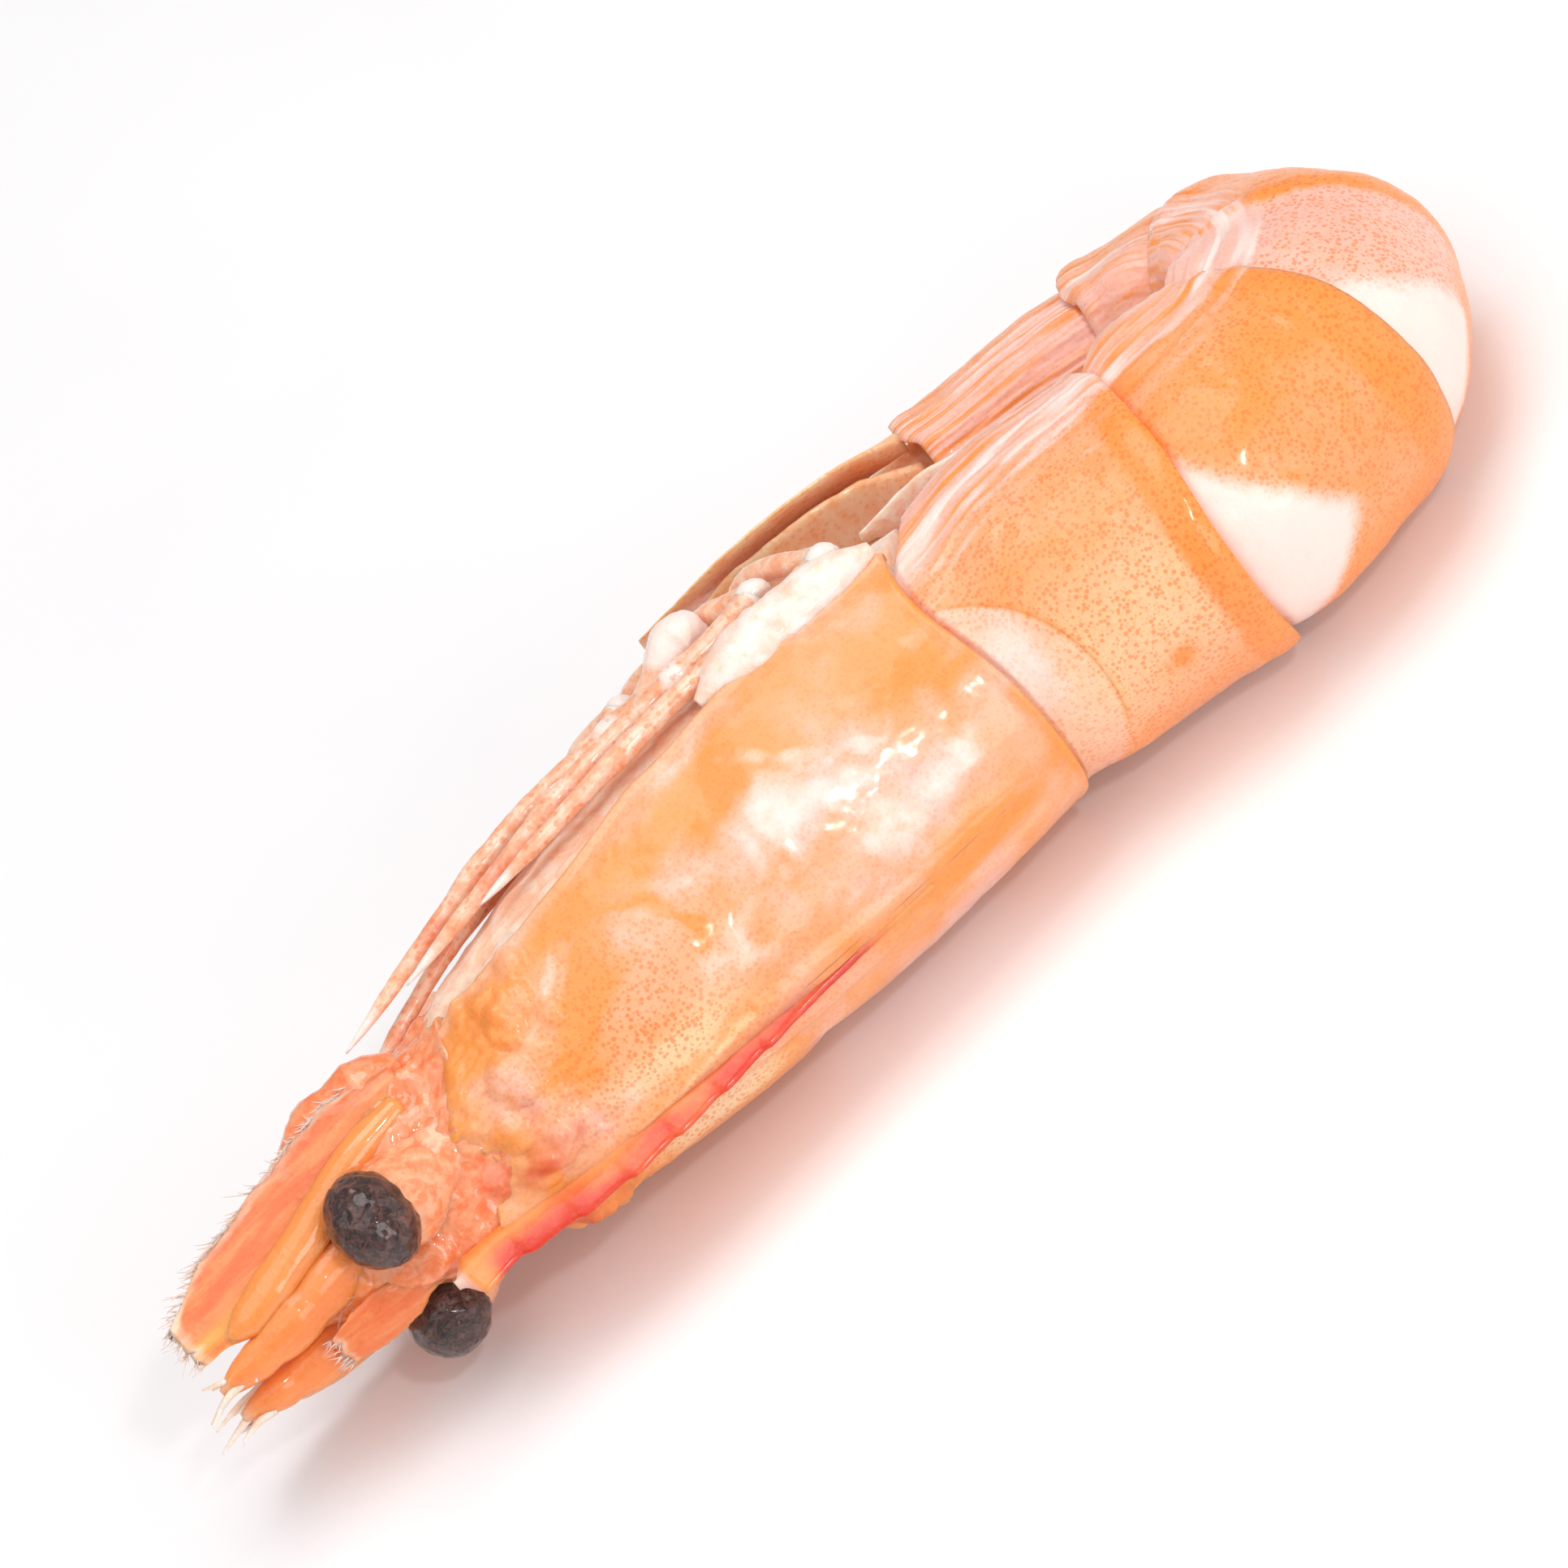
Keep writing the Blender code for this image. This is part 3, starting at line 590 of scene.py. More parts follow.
def carapace_relief(s, t):
    a = abs(t)
    beside_keel = bell(a - 16.0, 8.0) * ramp(-s, 8.0, 20.0)
    groove = -27.0 + 9.0 * np.sin(np.radians(np.minimum(a, 110.0)))
    neck = bell(s - groove, 1.8) * bell(a - 62.0, 30.0)
    gill = bell(s + 13.0, 10.0) * bell(a - 100.0, 32.0)
    return -0.35 * beside_keel - 0.45 * neck + 0.35 * gill - 1.3 * ramp(a, 97.0, 10.0)


def section_height(outline, s, angle):
    """Height of a section at an angle from the back, which differs above and below the spine."""
    return np.where(np.cos(angle) > 0, along(outline, s, 2), along(outline, s, 3)) * np.cos(angle)


def carapace_surface(s, t, extra=0.0):
    angle = np.radians(t)
    right = along(CARAPACE_OUTLINE, s, 1) * np.sin(angle) * (1.0 - 0.14 * np.cos(angle))
    height = section_height(CARAPACE_OUTLINE, s, angle)
    scale = 1.0 + (carapace_relief(s, t) + extra) / np.hypot(right, height)
    return at(s, height * scale, right * scale)


def beside(s, t, out):
    """A place that stands clear of the carapace at angle t."""
    surface = carapace_surface(np.float64(s), np.float64(t))
    away = surface - at(s)
    return surface + out * away / np.linalg.norm(away)


def blobs(s, t, spots):
    """Soft patches, each with centre s and t, half length, half width in degrees, slant and strength."""
    total = 0
    for s0, t0, half_s, half_t, slant, strength in spots:
        x = (s - s0) / half_s
        y = (t - t0 - slant * (s - s0)) / half_t
        total = total + strength * np.exp(-((x * x + y * y) ** 1.5))
    return total


# Swollen lobes of the shell behind the eye: centre s, centre t and size
FRONT_LOBES = [
    (-33.4, 74.0, 1.0),
    (-38.9, 20.0, 1.3),
    (-37.4, 28.0, 1.7),
    (-38.9, 42.0, 1.1),
    (-36.3, 44.0, 0.9),
    (-36.8, 56.0, 1.4),
    (-35.0, 70.0, 1.1),
    (-34.6, 80.0, 1.3),
    (-32.6, 62.0, 0.8),
    (-32.3, 84.0, 0.9),
]


def painted(*channels):
    return np.clip(np.stack(np.broadcast_arrays(*channels), -1), 0.0, 1.2)


def stroke(s, t, points, half_width):
    """A thin line along s through (s, t) points, as 1 on it and 0 off it; the width is in degrees."""
    points = np.array(points, float)
    middle = np.interp(s, points[:, 0], points[:, 1])
    inside = (s > points[0, 0]) & (s < points[-1, 0])
    return bell(t - middle, half_width) * inside


WHITE_SPOTS = [
    (-16.4, 56, 1.9, 11, 0, 0.8),
    (-13.0, 51, 3.4, 4.6, -1.5, 0.7),
    (-10.0, 51, 1.1, 6, 0, 0.5),
    (-14.3, 71, 3.4, 4.5, -3.4, 0.6),
    (-12.4, 25, 2.0, 11, 0, 0.7),
    (-13.0, 40, 5.5, 20, 0, 0.34),
    (-6.1, 31, 3.6, 9.0, 1.5, 0.7),
    (-17.0, 25, 2.6, 9, 0, 0.45),
    (-32.4, 19, 1.3, 6, 0, 0.75),
    (-25.8, 58, 2.6, 6, 0, 0.6),
    (-25.5, 37, 3.2, 7, 0, 0.36),
    (-17.4, 89, 2.6, 3.6, 0, 0.8),
    (-26.0, 84, 6.0, 3.0, 0, 0.3),
    (-24.2, 76.5, 0.9, 2.6, 0, 0.65),
    (-21.4, 77, 0.7, 2.5, 0, 0.5),
    (-32.7, 66, 1.9, 2.6, 3.0, 0.7),
    (-33.6, 73.5, 0.9, 2.0, 0, 0.7),
    (-31.3, 69, 1.0, 1.8, 2.0, 0.7),
    (-37.6, 55, 1.0, 5, 0, 0.55),
    (-39.2, 61, 1.0, 6, 0, 0.55),
    (-35.0, 62, 0.9, 4, 0, 0.5),
    (-34.0, 82, 1.5, 5, 0, 0.6),
]
ORANGE_SPOTS = [
    (-34.0, 37, 1.9, 8, 0, 0.9),
    (-31.2, 51, 3.2, 8, 2.0, 1.0),
    (-29.0, 64, 3.2, 4.5, 2.0, 0.85),
    (-27.5, 12, 7.0, 6, 1.0, 0.6),
    (-38.5, 2, 0.9, 14, 0, 0.6),
    (-36.5, 50, 3.0, 22, 0, 0.45),
    (-28.0, 76, 3.4, 3.2, 0, 0.5),
    (-3.0, 72, 5.5, 24, 0, 0.75),
    (-9.0, 84, 7.0, 9, 0, 0.45),
    (-21.0, 68, 4.0, 9, 0, 0.5),
    # The last two spots are painted shade set for the far flank. Because the spots are matched against the
    # size of t, they make the back orange on both sides of the keel.
    (-8.0, -2, 16.0, 10, 0, 0.6),
    (-24.0, -18, 16.0, 16, 0, 0.35),
]
RED_SPOTS = [
    (-37.8, 28, 2.1, 13, 0, 0.46),
    (-39.6, 22, 1.4, 7, 0, 0.42),
    (-35.6, 25, 0.7, 9, 0, 0.3),
    (-35.6, 76, 1.6, 7, 0, 0.34),
    (-37.0, 44, 1.4, 6, 0, 0.3),
]
CREAM_SPOTS = [
    (-28.6, 21, 5.0, 10, 0, 0.85),
    (-8.0, 14, 5.0, 5, 0, 0.4),
]
PINK_SPOTS = [
    (-25.0, 86, 12.0, 4, 0, 0.35),
    (-14.0, 48, 8.0, 28, 0, 0.5),
    (-38.0, 62, 3.0, 16, 0, 0.45),
]


def carapace_zones(s, t, P):
    drift = 0.7 * fractal(P, 2.4, 11)
    s = s + drift
    a = abs(t) + 3.4 * fractal(P, 2.6, 23)
    white = blobs(s, a, WHITE_SPOTS)
    white = white * (0.66 + 0.34 * fractal(P, 1.5, 37))
    swirl = P + 1.6 * np.stack([fractal(P, 4.0, seed) for seed in (61, 62, 63)], -1)
    cloud = fractal(swirl, 3.2, 64)
    orange = 0.42 + 0.45 * fractal(swirl, 5.0, 29) + blobs(s, a, ORANGE_SPOTS)
    edges = 0.5 * ramp(s, -1.6, 1.2) + 0.35 * ramp(-s, 33.5, 3.0)
    # Painted shade and painted sheen: where t is below zero, on the far flank, orange is added and the white
    # spots are weakened as painted shade. The pale middle of the near flank is partly the shell's own
    # marbling and partly a painted sheen where the light falls.
    orange += edges + 0.3 * ramp(-t, 4.0, 8.0)
    middle = bell(a - 42.0, 40.0) * ramp(s, -27.0, 6.0) * (1.0 - 0.6 * ramp(s, -3.5, 3.0))
    middle = middle * ramp(t, 3.0, 9.0)
    white = white * (0.25 + 0.75 * ramp(t, -4.0, 8.0))
    white += middle * np.clip(0.10 + 0.5 * cloud, 0.0, 0.6)
    white += 0.45 * middle * np.clip(fractal(swirl * np.array([0.45, 1.0, 1.0]), 1.3, 65), 0.0, 1.0)
    white = 0.72 * np.clip(white, 0.0, 2.0) ** 0.9
    red = blobs(s, a, RED_SPOTS)
    red += 0.95 * bell(t - 1.0, 6.5) * ramp(-s, 13.0, 8.0) * (0.6 + 0.5 * value_noise(P, 2.6, 5))
    dots = 0.30 + 0.7 * bell(s + 29.5, 6.5) * bell(a - 36.0, 30.0)
    pink = 0.22 + 0.45 * fractal(swirl, 4.4, 71) + blobs(s, a, PINK_SPOTS)
    pink *= 1.0 - 0.85 * bell(s + 31.0, 4.5) * bell(a - 50.0, 22.0)
    pink *= 1.0 - 0.7 * bell(a - 78.0, 11.0) * ramp(-s, 10.0, 4.0)
    orange += 0.7 * bell(a - 78.0, 11.0) * ramp(-s, 10.0, 4.0)
    white *= 1.0 - 0.5 * bell(a - 78.0, 9.0) * ramp(-s, 14.0, 4.0)
    cream = blobs(s, a, CREAM_SPOTS)
    cream += 0.5 * stroke(s, a, [(-33.0, 5.0), (-28.0, 7.5), (-24.5, 11.0)], 1.7)
    brown = 0.62 * stroke(s - drift, t, [(-21.5, 5.6), (-14.0, 4.6), (-6.0, 2.6)], 0.6)
    brown += 0.75 * bell(s + 19.7, 0.16) * bell(t - 24.7, 0.9)
    edge = lower_edge(s) - abs(t)
    brown += 0.55 * bell(edge - 0.8, 0.8) * ramp(-s, 9.0, 5.0) * ramp(s, -38.0, 3.0)
    arc = bell(np.hypot((s + 28.5) / 5.2, (a - 49.0) / 22.0) - 1.0, 0.055)
    orange += 1.2 * arc * (s > -29.5) * (a > 40)
    pink *= 1.0 - 0.9 * arc
    return painted(orange, white, red, dots), painted(pink, brown, cream)


def shell_front(t):
    """Front edge of the shell, with a hollow behind the eye and a lower corner cut back."""
    return carapace_front(t) + 3.2 * ramp(abs(t), 58.0, 26.0)


def make_carapace():
    n, m = 190, 200
    u = np.linspace(0, 1, n)[:, None]
    v = np.linspace(-1, 1, m)[None, :]
    t = v * 95.0
    for _ in range(3):
        s = shell_front(t) * (1 - u) + carapace_rear(t) * u
        t = v * lower_edge(s)
    edge = lower_edge(s) - abs(t)
    P = carapace_surface(s, t)
    zones, marks = carapace_zones(s, t, P)
    extra = 0.07 * fractal(P, 3.8, 2) + 0.025 * fractal(P, 1.1, 4)
    extra += 0.16 * bell(edge - 1.6, 1.4) - 0.25 * smooth((1.2 - edge) / 1.2)
    extra += 0.2 * stroke(s, abs(t), [(-34.0, 5.0), (-24.0, 11.0), (-5.0, 5.0)], 3.0)
    past_rear = s - carapace_rear(t)
    extra += 0.12 * ramp(past_rear, -1.2, 1.0) - 0.2 * ramp(past_rear, -0.25, 0.25)
    extra -= 0.7 * smooth((shell_front(t) + 1.6 - s) / 1.6) * ramp(abs(t), 12.0, 8.0)
    front = ramp(-s, 31.5, 4.0)
    extra += front * (0.26 * fractal(P, 1.7, 17) + 0.15 * fractal(P, 0.6, 19)) * ramp(abs(t), 8.0, 10.0)
    for s0, t0, size in FRONT_LOBES:
        away = np.hypot((s - s0) / size, (abs(t) - t0) * 0.13 / size)
        extra += 0.42 * size * np.clip(1.0 - away**2, 0.0, 1.0) ** 0.7
    P = carapace_surface(s, t, extra)
    thin_shell("carapace_shell", P, SHELL_THICKNESS, SHELL, {"zones": zones, "marks": marks}, node="carapace")


def make_body_core():
    """The flesh inside the head shell, which is bare under the shell's lower edge."""
    n, m = 70, 96
    u, t = grid_of(n, m)
    s = (carapace_front(t) + 0.7) * (1 - u) + (carapace_rear(t) - 0.35) * u
    extra = -0.75 + 0.75 * ramp(abs(t), 100.0, 10.0)
    P = carapace_surface(s, t, extra)
    P = carapace_surface(s, t, extra + 0.15 * fractal(P, 1.8, 8))
    zones = zones_of(n, m, white=0.45 * ramp(abs(t), 95.0, 20.0) * ramp(s, -16.0, 6.0))
    closed_skin("body_core", P, BODY, zones, node="carapace")


def make_keel():
    """The toothed ridge along the back of the carapace, with its broken front end."""
    tip = -CARAPACE_LENGTH - KEEL_FREE_LENGTH + 0.9
    s = np.linspace(KEEL_START + 3.0, tip, 260)
    surface = along(CARAPACE_OUTLINE, s, 2)
    crest = surface + KEEL_RISE * smooth((KEEL_START - s) / 24.0) + 0.12
    first = tip + 1.6 + TOOTH_PITCH * (TOOTH_COUNT - 1)
    for k in range(TOOTH_COUNT):
        root = first - TOOTH_PITCH * k
        size = 0.26 * (0.6 + 0.4 * smooth(k / 3))
        rise = np.where(s > root - 0.7, smooth((root + 2.1 - s) / 2.8), smooth((s - root + 1.25) / 0.55))
        crest += size * rise * (s < root + 2.1) * (s > root - 1.25)
    worn = smooth((s - tip) / 1.1)
    crest = crest - (1.0 - worn) * 1.5
    floor_places = [tip, tip + 1.2, -CARAPACE_LENGTH + 1.0, -30.0, KEEL_START]
    floor_line = np.interp(s, floor_places, [8.6, 7.4, 7.7, 9.0, 9.6])
    floor_line = np.minimum(floor_line, crest - 0.4)
    profile = [(0.0, 0.00), (0.62, 0.10), (0.64, 0.42), (0.42, 0.72), (0.24, 0.90), (0.10, 0.985), (0.0, 1.0)]
    profile += [(-a, b) for a, b in profile[-2:0:-1]]
    rings = []
    for side, share in profile:
        height = floor_line + (crest - floor_line) * share
        rings.append(at(s, height, side * 1.05 * (0.55 + 0.45 * worn)))
    P = np.stack(rings, 1)
    P = P + 0.03 * fractal(P, 0.9, 6)[..., None] * np.array([0.0, 0.6, 0.8])
    ss = np.repeat(s[:, None], P.shape[1], 1)
    share = np.array([b for _, b in profile])[None, :]
    patches = 0.5 + 0.5 * value_noise(P, 2.2, 31)
    red = ramp(-ss, 13.0, 6.0) * (0.55 + 0.6 * patches) * (0.02 + 1.15 * share)
    red *= 1.0 - 0.6 * ramp(-ss, 43.5, 2.0)
    white = 0.7 * ramp(-ss, 45.4, 1.0)
    zones = painted(1.0, white, red, 0.2 + 0 * ss)
    brown = 0.8 * bell(share - 0.78, 0.06) * bell(ss + 17.0, 5.0)
    marks = painted(0.0, brown, 0.5 * bell(share - 0.5, 0.12))
    closed_skin("keel_ridge", P, SHELL, zones, marks, node="carapace")


# The abdomen

FACET_DEPTH = [5.0, 5.2, 4.2, 3.2, 2.6, 1.8]
FACET_SPANS = [(4.0, 64.0), (-12.0, 66.0), (-4.0, 66.0), (0.0, 56.0), (0.0, 52.0), (0.0, 52.0)]
BAND_WIDTH = [1.9, 1.9, 1.7, 1.5, 1.3, 1.2]


def overlap(t):
    """How far a segment's rear edge reaches over the next segment."""
    return (0.5 + 0.4 * ramp(abs(t), 10.0, 50.0)) * (1.0 - ramp(abs(t), 95.0, 30.0))


def segment_surface(index, s, t, extra=0.0):
    start, length = SEGMENT_STARTS[index], SEGMENT_LENGTHS[index]
    u = (s - start) / length
    angle = np.radians(t)
    right = along(ABDOMEN_OUTLINE, s, 1) * np.sin(angle)
    up = section_height(ABDOMEN_OUTLINE, s, angle)
    flap = bell(abs(t) - 128.0, 24.0)
    lobe = np.sin(np.pi * np.clip(0.04 + 0.92 * u, 0.0, 1.0)) ** 0.5
    tuck = 0.55 * (1.0 - smooth(u / 0.35)) * (0.4 + 0.6 * smooth((120.0 - abs(t)) / 60.0))
    flare = 0.25 * ramp(u, 0.75, 0.25)
    scale = 1.0 + (flap * PLEURA_DEPTH[index] * lobe + flare - tuck + extra) / np.hypot(right, up)
    return at(s, up * scale, right * scale)


def long_grain(s, t, along_s, along_t):
    """Places for a noise that is drawn out along s or t."""
    return np.stack([s * along_s, t * along_t, 0 * s], -1)


def segment_zones(index, s, t, P):
    wobble = fractal(P, 1.6, 40 + index)
    centre, reach = FACET_SPANS[index]
    a = abs(t - 4.0) + 2.0 * fractal(P, 3.0, 50 + index)
    seam = (carapace_rear(t) + 0.4) if index == 0 else SEGMENT_STARTS[index] + overlap(t)
    rear = SEGMENT_STARTS[index + 1] + overlap(t)
    if index == 0:
        depth = FACET_DEPTH[index] * np.clip(1.0 - ((t - centre) / reach) ** 2, 0.0, 1.0) ** 0.8
    else:
        taper = np.clip(1.0 - np.hypot(t - centre, 5.0) / reach, 0.0, 1.0)
        depth = FACET_DEPTH[index] * taper**1.15 - 0.2
    inside = depth - (s - seam)
    facet = smooth(inside / 0.9 + 0.6 + 0.12 * wobble) if index == 0 else smooth(inside / 2.2 + 0.34)
    band = smooth((BAND_WIDTH[index] - (rear - s)) / 0.9 + 0.5)
    pleura = smooth((a - 60.0 + 9.0 * fractal(long_grain(s, t, 0.22, 0.3), 1.0, 66 + index)) / 26.0)
    if index == 0:
        white = facet * (0.30 + 0.45 * bell(t - 30.0, 22.0) * smooth((3.6 - s) / 2.0))
        outline = bell(inside, 0.2) * smooth((70.0 - a) / 6.0) * ramp(t, -24.0, 10.0)
    else:
        white = facet * (1.15 + 0.2 * wobble)
        outline = 0.0
    orange = 0.36 + 0.35 * bell(a - 46.0, 16.0) + 0.1 * wobble + 0.28 * (index > 0)
    orange = orange * (1.0 - 0.85 * facet) + 0.6 * band * (1.0 - 0.6 * pleura) + 1.4 * outline
    orange -= 0.6 * (index == 2) * (1.0 - band) * ramp(t, -10.0, 20.0)
    orange *= 1.0 - 0.5 * pleura
    bare = 0.9 if index else 0.35
    dots = (0.85 + 0.15 * band) * (1.0 - bare * smooth(inside / 1.1)) * (1.0 - 0.75 * pleura)
    streaks = 0.5 + 0.5 * value_noise(long_grain(s, t, 0.25, 0.22), 1.0, 61 + index)
    fibres = fractal(long_grain(s, t, 0.16, 0.5), 1.0, 91 + index)
    pink = pleura * (0.5 + 0.3 * streaks - 0.6 * fibres)
    pink = pink + 0.7 * (index == 2) * (1.0 - band) * ramp(t, -10.0, 20.0)
    orange += 0.8 * pleura * np.clip(fibres, 0.0, 1.0)
    pale_lines = smooth(streaks * 2.0 - 0.9) + np.clip(-fibres, 0.0, 0.7)
    white = white + 0.8 * pleura * pale_lines * smooth((118.0 - a) / 20.0)
    white *= 1.0 - 0.8 * bell(a - 104.0, 7.0)
    orange += 0.55 * bell(a - 104.0, 9.0)
    red = 0.12 * band + 0.35 * bell(a - 76.0, 9.0) * bell(s - seam - 0.6, 1.4) * (index > 0)
    cream = 0.55 * (index == 0) * (1.0 - band) * (1.0 - pleura) * bell(t - 4.0, 34.0)
    if index == 0:
        spot = bell(s - 8.9, 0.7) * bell(t + 14.7, 4.6)
        orange = orange + 0.8 * spot
        red = red + 0.3 * spot
        cream = cream * (1.0 - spot)
    return painted(orange, white, red, dots), painted(pink, 0.5 * outline, cream)


def make_segment(index):
    m = 260
    n = 120 if index == 0 else 70
    u, t = grid_of(n, m)
    start, end = SEGMENT_STARTS[index], SEGMENT_STARTS[index + 1]
    if index == 0:
        front = carapace_rear(t) + 0.64 - 1.3 * smooth((110 - abs(t)) / 20.0)
    else:
        front = start - 0.9 + 0 * t
    rear = end + overlap(t)
    s = front * (1 - u) + rear * u
    tt = np.repeat(t, n, 0)
    P = segment_surface(index, s, tt)
    zones, marks = segment_zones(index, s, tt, P)
    extra = 0.07 * fractal(P, 3.0, 70 + index) + 0.03 * fractal(P, 0.9, 80 + index)
    grain = fractal(long_grain(s, tt, 0.25, 0.35), 1.0, 95 + index)
    extra += 0.12 * grain * ramp(abs(tt), 62.0, 20.0)
    extra += 0.16 * smooth((s - rear + 2.0) / 1.4) - 0.14 * smooth((s - rear + 0.35) / 0.35)
    if index == 0:
        extra -= 0.5 * smooth((carapace_rear(tt) + 0.5 - s) / 0.8) * (abs(tt) < 115)
    else:
        extra -= 0.35 * smooth((start + overlap(tt) + 0.3 - s) / 0.8)
    P = segment_surface(index, s, tt, extra)
    last, angles, swell = s[-1:], tt[-1:], extra[-1:]
    lips = [segment_surface(index, last - a, angles, swell - b) for a, b in ((0.05, 0.22), (0.7, 0.6))]
    P = np.concatenate([P, *lips])
    zones, marks = [np.concatenate([values, values[-1:], values[-1:]]) for values in (zones, marks)]
    closed_skin(f"segment_{index + 1}", P, SHELL, zones, marks, node=f"abdomen_{index + 1}")


# The tail fan


def tail_point(back, dorsal, right):
    return at(TAIL_START + 0.32 + back, dorsal, right)


# Kind, path as distances back, dorsal and sideways, widths, thickness at the root and lean
UROPODS = [
    ("inner", [(0.4, -0.9, 1.6), (8.0, -1.3, 2.3), (18.5, -1.0, 2.2)], [1.6, 4.0, 4.6, 4.4, 1.8], 1.5, 0.35),
    ("outer", [(0.4, 0.2, 3.7), (8.0, -0.2, 4.3), (19.5, -0.4, 3.9)], [1.5, 4.2, 5.0, 4.9, 2.0], 1.3, 1.1),
]


def make_tail():
    _, _, flat, side = frames(TAIL_START + 8.0)
    telson = [tail_point(-0.6, 1.6, 0.0), tail_point(8.0, 1.3, 0.0), tail_point(17.5, 0.6, 0.0)]
    widths, thick = [5.2, 4.8, 3.8, 2.6, 0.5], [3.2, 2.6, 2.0, 1.3, 0.4]
    tube("telson_plate", telson, widths, thick, flat, TAIL, zones_of(40, 20, dots=0.6), 0.05, node="telson")
    ridge = 1.0 + 0.25 * bell(np.linspace(-1, 1, 20), 0.2)[None, :, None]
    for sign, name in SIDES:
        for kind, path, widths, root, lean in UROPODS:
            points = [tail_point(b, d, sign * r) for b, d, r in path]
            facing = flat + lean * sign * side
            rings, u = tube_rings(points, widths, [root, 1.0, 0.8, 0.6, 0.3], facing, 20, 44)
            middle = rings.mean(axis=1, keepdims=True)
            rings = middle + (rings - middle) * ridge * (1 + 0.05 * fractal(rings, 1.2, 9))[..., None]
            zones = zones_of(44, 20, red=0.36 * ramp(u, 0.72, 0.2)[:, None], dots=0.5)
            node = f"uropod_{kind}_{name}"
            closed_skin(f"uropod_plate_{kind}_{name}", rings, TAIL, zones, node=node)


# The head


def make_head():
    """The flesh in front of the shell, with the eye stalks and the stout bases of the feelers."""
    n, m = 110, 180
    u, t = grid_of(n, m)
    angle = np.radians(t)
    opening = shell_front(t) + 1.4
    rear = carapace_surface(opening, t)
    middle = at(opening)
    rear = middle + 0.955 * (rear - middle)
    front = ahead(10.4, 1.4 + 2.0 * np.cos(angle), 3.0 * np.sin(angle))
    P = rear[None, 0] * (1 - u[..., None]) + front[None, 0] * u[..., None]
    axis = at(-CARAPACE_LENGTH, 0.6) + 0 * P
    axis[..., 0] = P[..., 0]
    away = P - axis
    away /= np.linalg.norm(away, axis=-1, keepdims=True)
    socket = bell(abs(t) - 48.0, 26.0) * np.sin(np.pi * u)
    P = P + (0.9 * np.sin(np.pi * u) ** 2 - 1.0 * socket)[..., None] * away
    lumps = fractal(P, 1.9, 90)
    P = P + (0.34 * lumps + 0.15 * fractal(P, 0.9, 91) + 0.05 * fractal(P, 0.4, 92))[..., None] * away
    zones = zones_of(
        n,
        m,
        orange=0.5 * ramp(u, 0.5, 0.3) + 0.4 * bell(abs(t) - 100.0, 16.0),
        white=0.3 * bell(abs(t) - 78.0, 20.0) * (1 - u) + 0.2 * lumps + 0.15 * bell(abs(t) - 40.0, 24.0),
        red=0.5 * bell(abs(t) - 28.0, 16.0) * bell(u - 0.1, 0.2),
    )
    closed_skin("head_front", P, HEAD, zones, node="head_core", slot="head")
    worn_tip = 0.5 * smooth((np.linspace(0, 1, 60)[:, None] - 0.8) / 0.2)
    stem_zones = zones_of(60, 22, orange=0.55, white=worn_tip, dots=0.3)
    for sign, name in SIDES:
        path = path_ahead(sign, [(-3.0, 1.6, 1.2), (0.8, 3.0, 2.4), (3.9, 4.3, 4.1)])
        widths = [7.0, 7.4, 7.4, 7.0, 6.5, 6.1, 5.8, 5.7, 5.4, 5.0]
        thick = [6.6, 7.0, 7.0, 6.6, 6.2, 5.8, 5.5, 5.4, 5.1, 4.7]
        more = {"node": "head_core", "slot": "head"}
        tube(f"eye_stalk_{name}", path, widths, thick, (1, 0, 0), STALK, zones_of(70, 60), 0.07, **more)
        path = path_ahead(sign, [(6.6, 2.6, 2.0), (11.5, 3.4, 1.7), (17.2, 3.2, 1.2)])
        widths = [3.0, 3.4, 3.6, 3.6, 3.4, 3.1, 3.3, 3.2, 2.9, 2.4, 2.4, 2.0, 1.4, 0.6]
        thick = [3.0, 3.2, 3.3, 3.3, 3.1, 2.8, 3.0, 2.9, 2.6, 2.1, 2.1, 1.7, 1.2, 0.5]
        more = {"node": f"antennule_{name}", "slot": "head"}
        tube(f"antennule_stem_{name}", path, widths, thick, (0, -1, 0), SCALE, stem_zones, 0.05, **more)
        path = path_ahead(sign, [(-2.6, -2.2, 5.2), (0.4, -2.4, 5.5), (3.4, -2.1, 5.3), (7.2, -1.3, 4.6)])
        widths = [2.4, 3.6, 4.2, 3.4, 4.2, 4.2, 3.2, 2.2]
        thick = [2.6, 3.4, 3.7, 3.0, 3.6, 3.5, 2.8, 1.8]
        more = {"node": f"antennal_base_{name}", "slot": "head"}
        zones = zones_of(60, 28)
        tube(f"antenna_base_{name}", path, widths, thick, (0, -0.8, sign), HEAD, zones, 0.11, **more)


BRISTLES_PER_SIDE = 70
SCALE_EDGE_HAIRS = 170
SCALE_TIP_HAIRS = 34
LEAF_HAIRS = 40


def make_head_hairs():
    draw = np.random.default_rng(44)
    roots, ways = [], []
    for sign in (1, -1):
        for _ in range(BRISTLES_PER_SIDE):
            along_head = draw.uniform(0.0, 9.0)
            turn = draw.uniform(-0.4, 1.6)
            height = 1.4 + (3.4 - 0.1 * along_head) * math.cos(turn)
            root = ahead(along_head, height, sign * 4.0 * math.sin(turn))
            roots.append(root)
            ways.append(root - ahead(along_head - 4.0, 1.0, 0.0))
    hairs("head_bristles", roots, ways, 1.3, 0.05, HAIR, 14, node="head_core", slot="head")


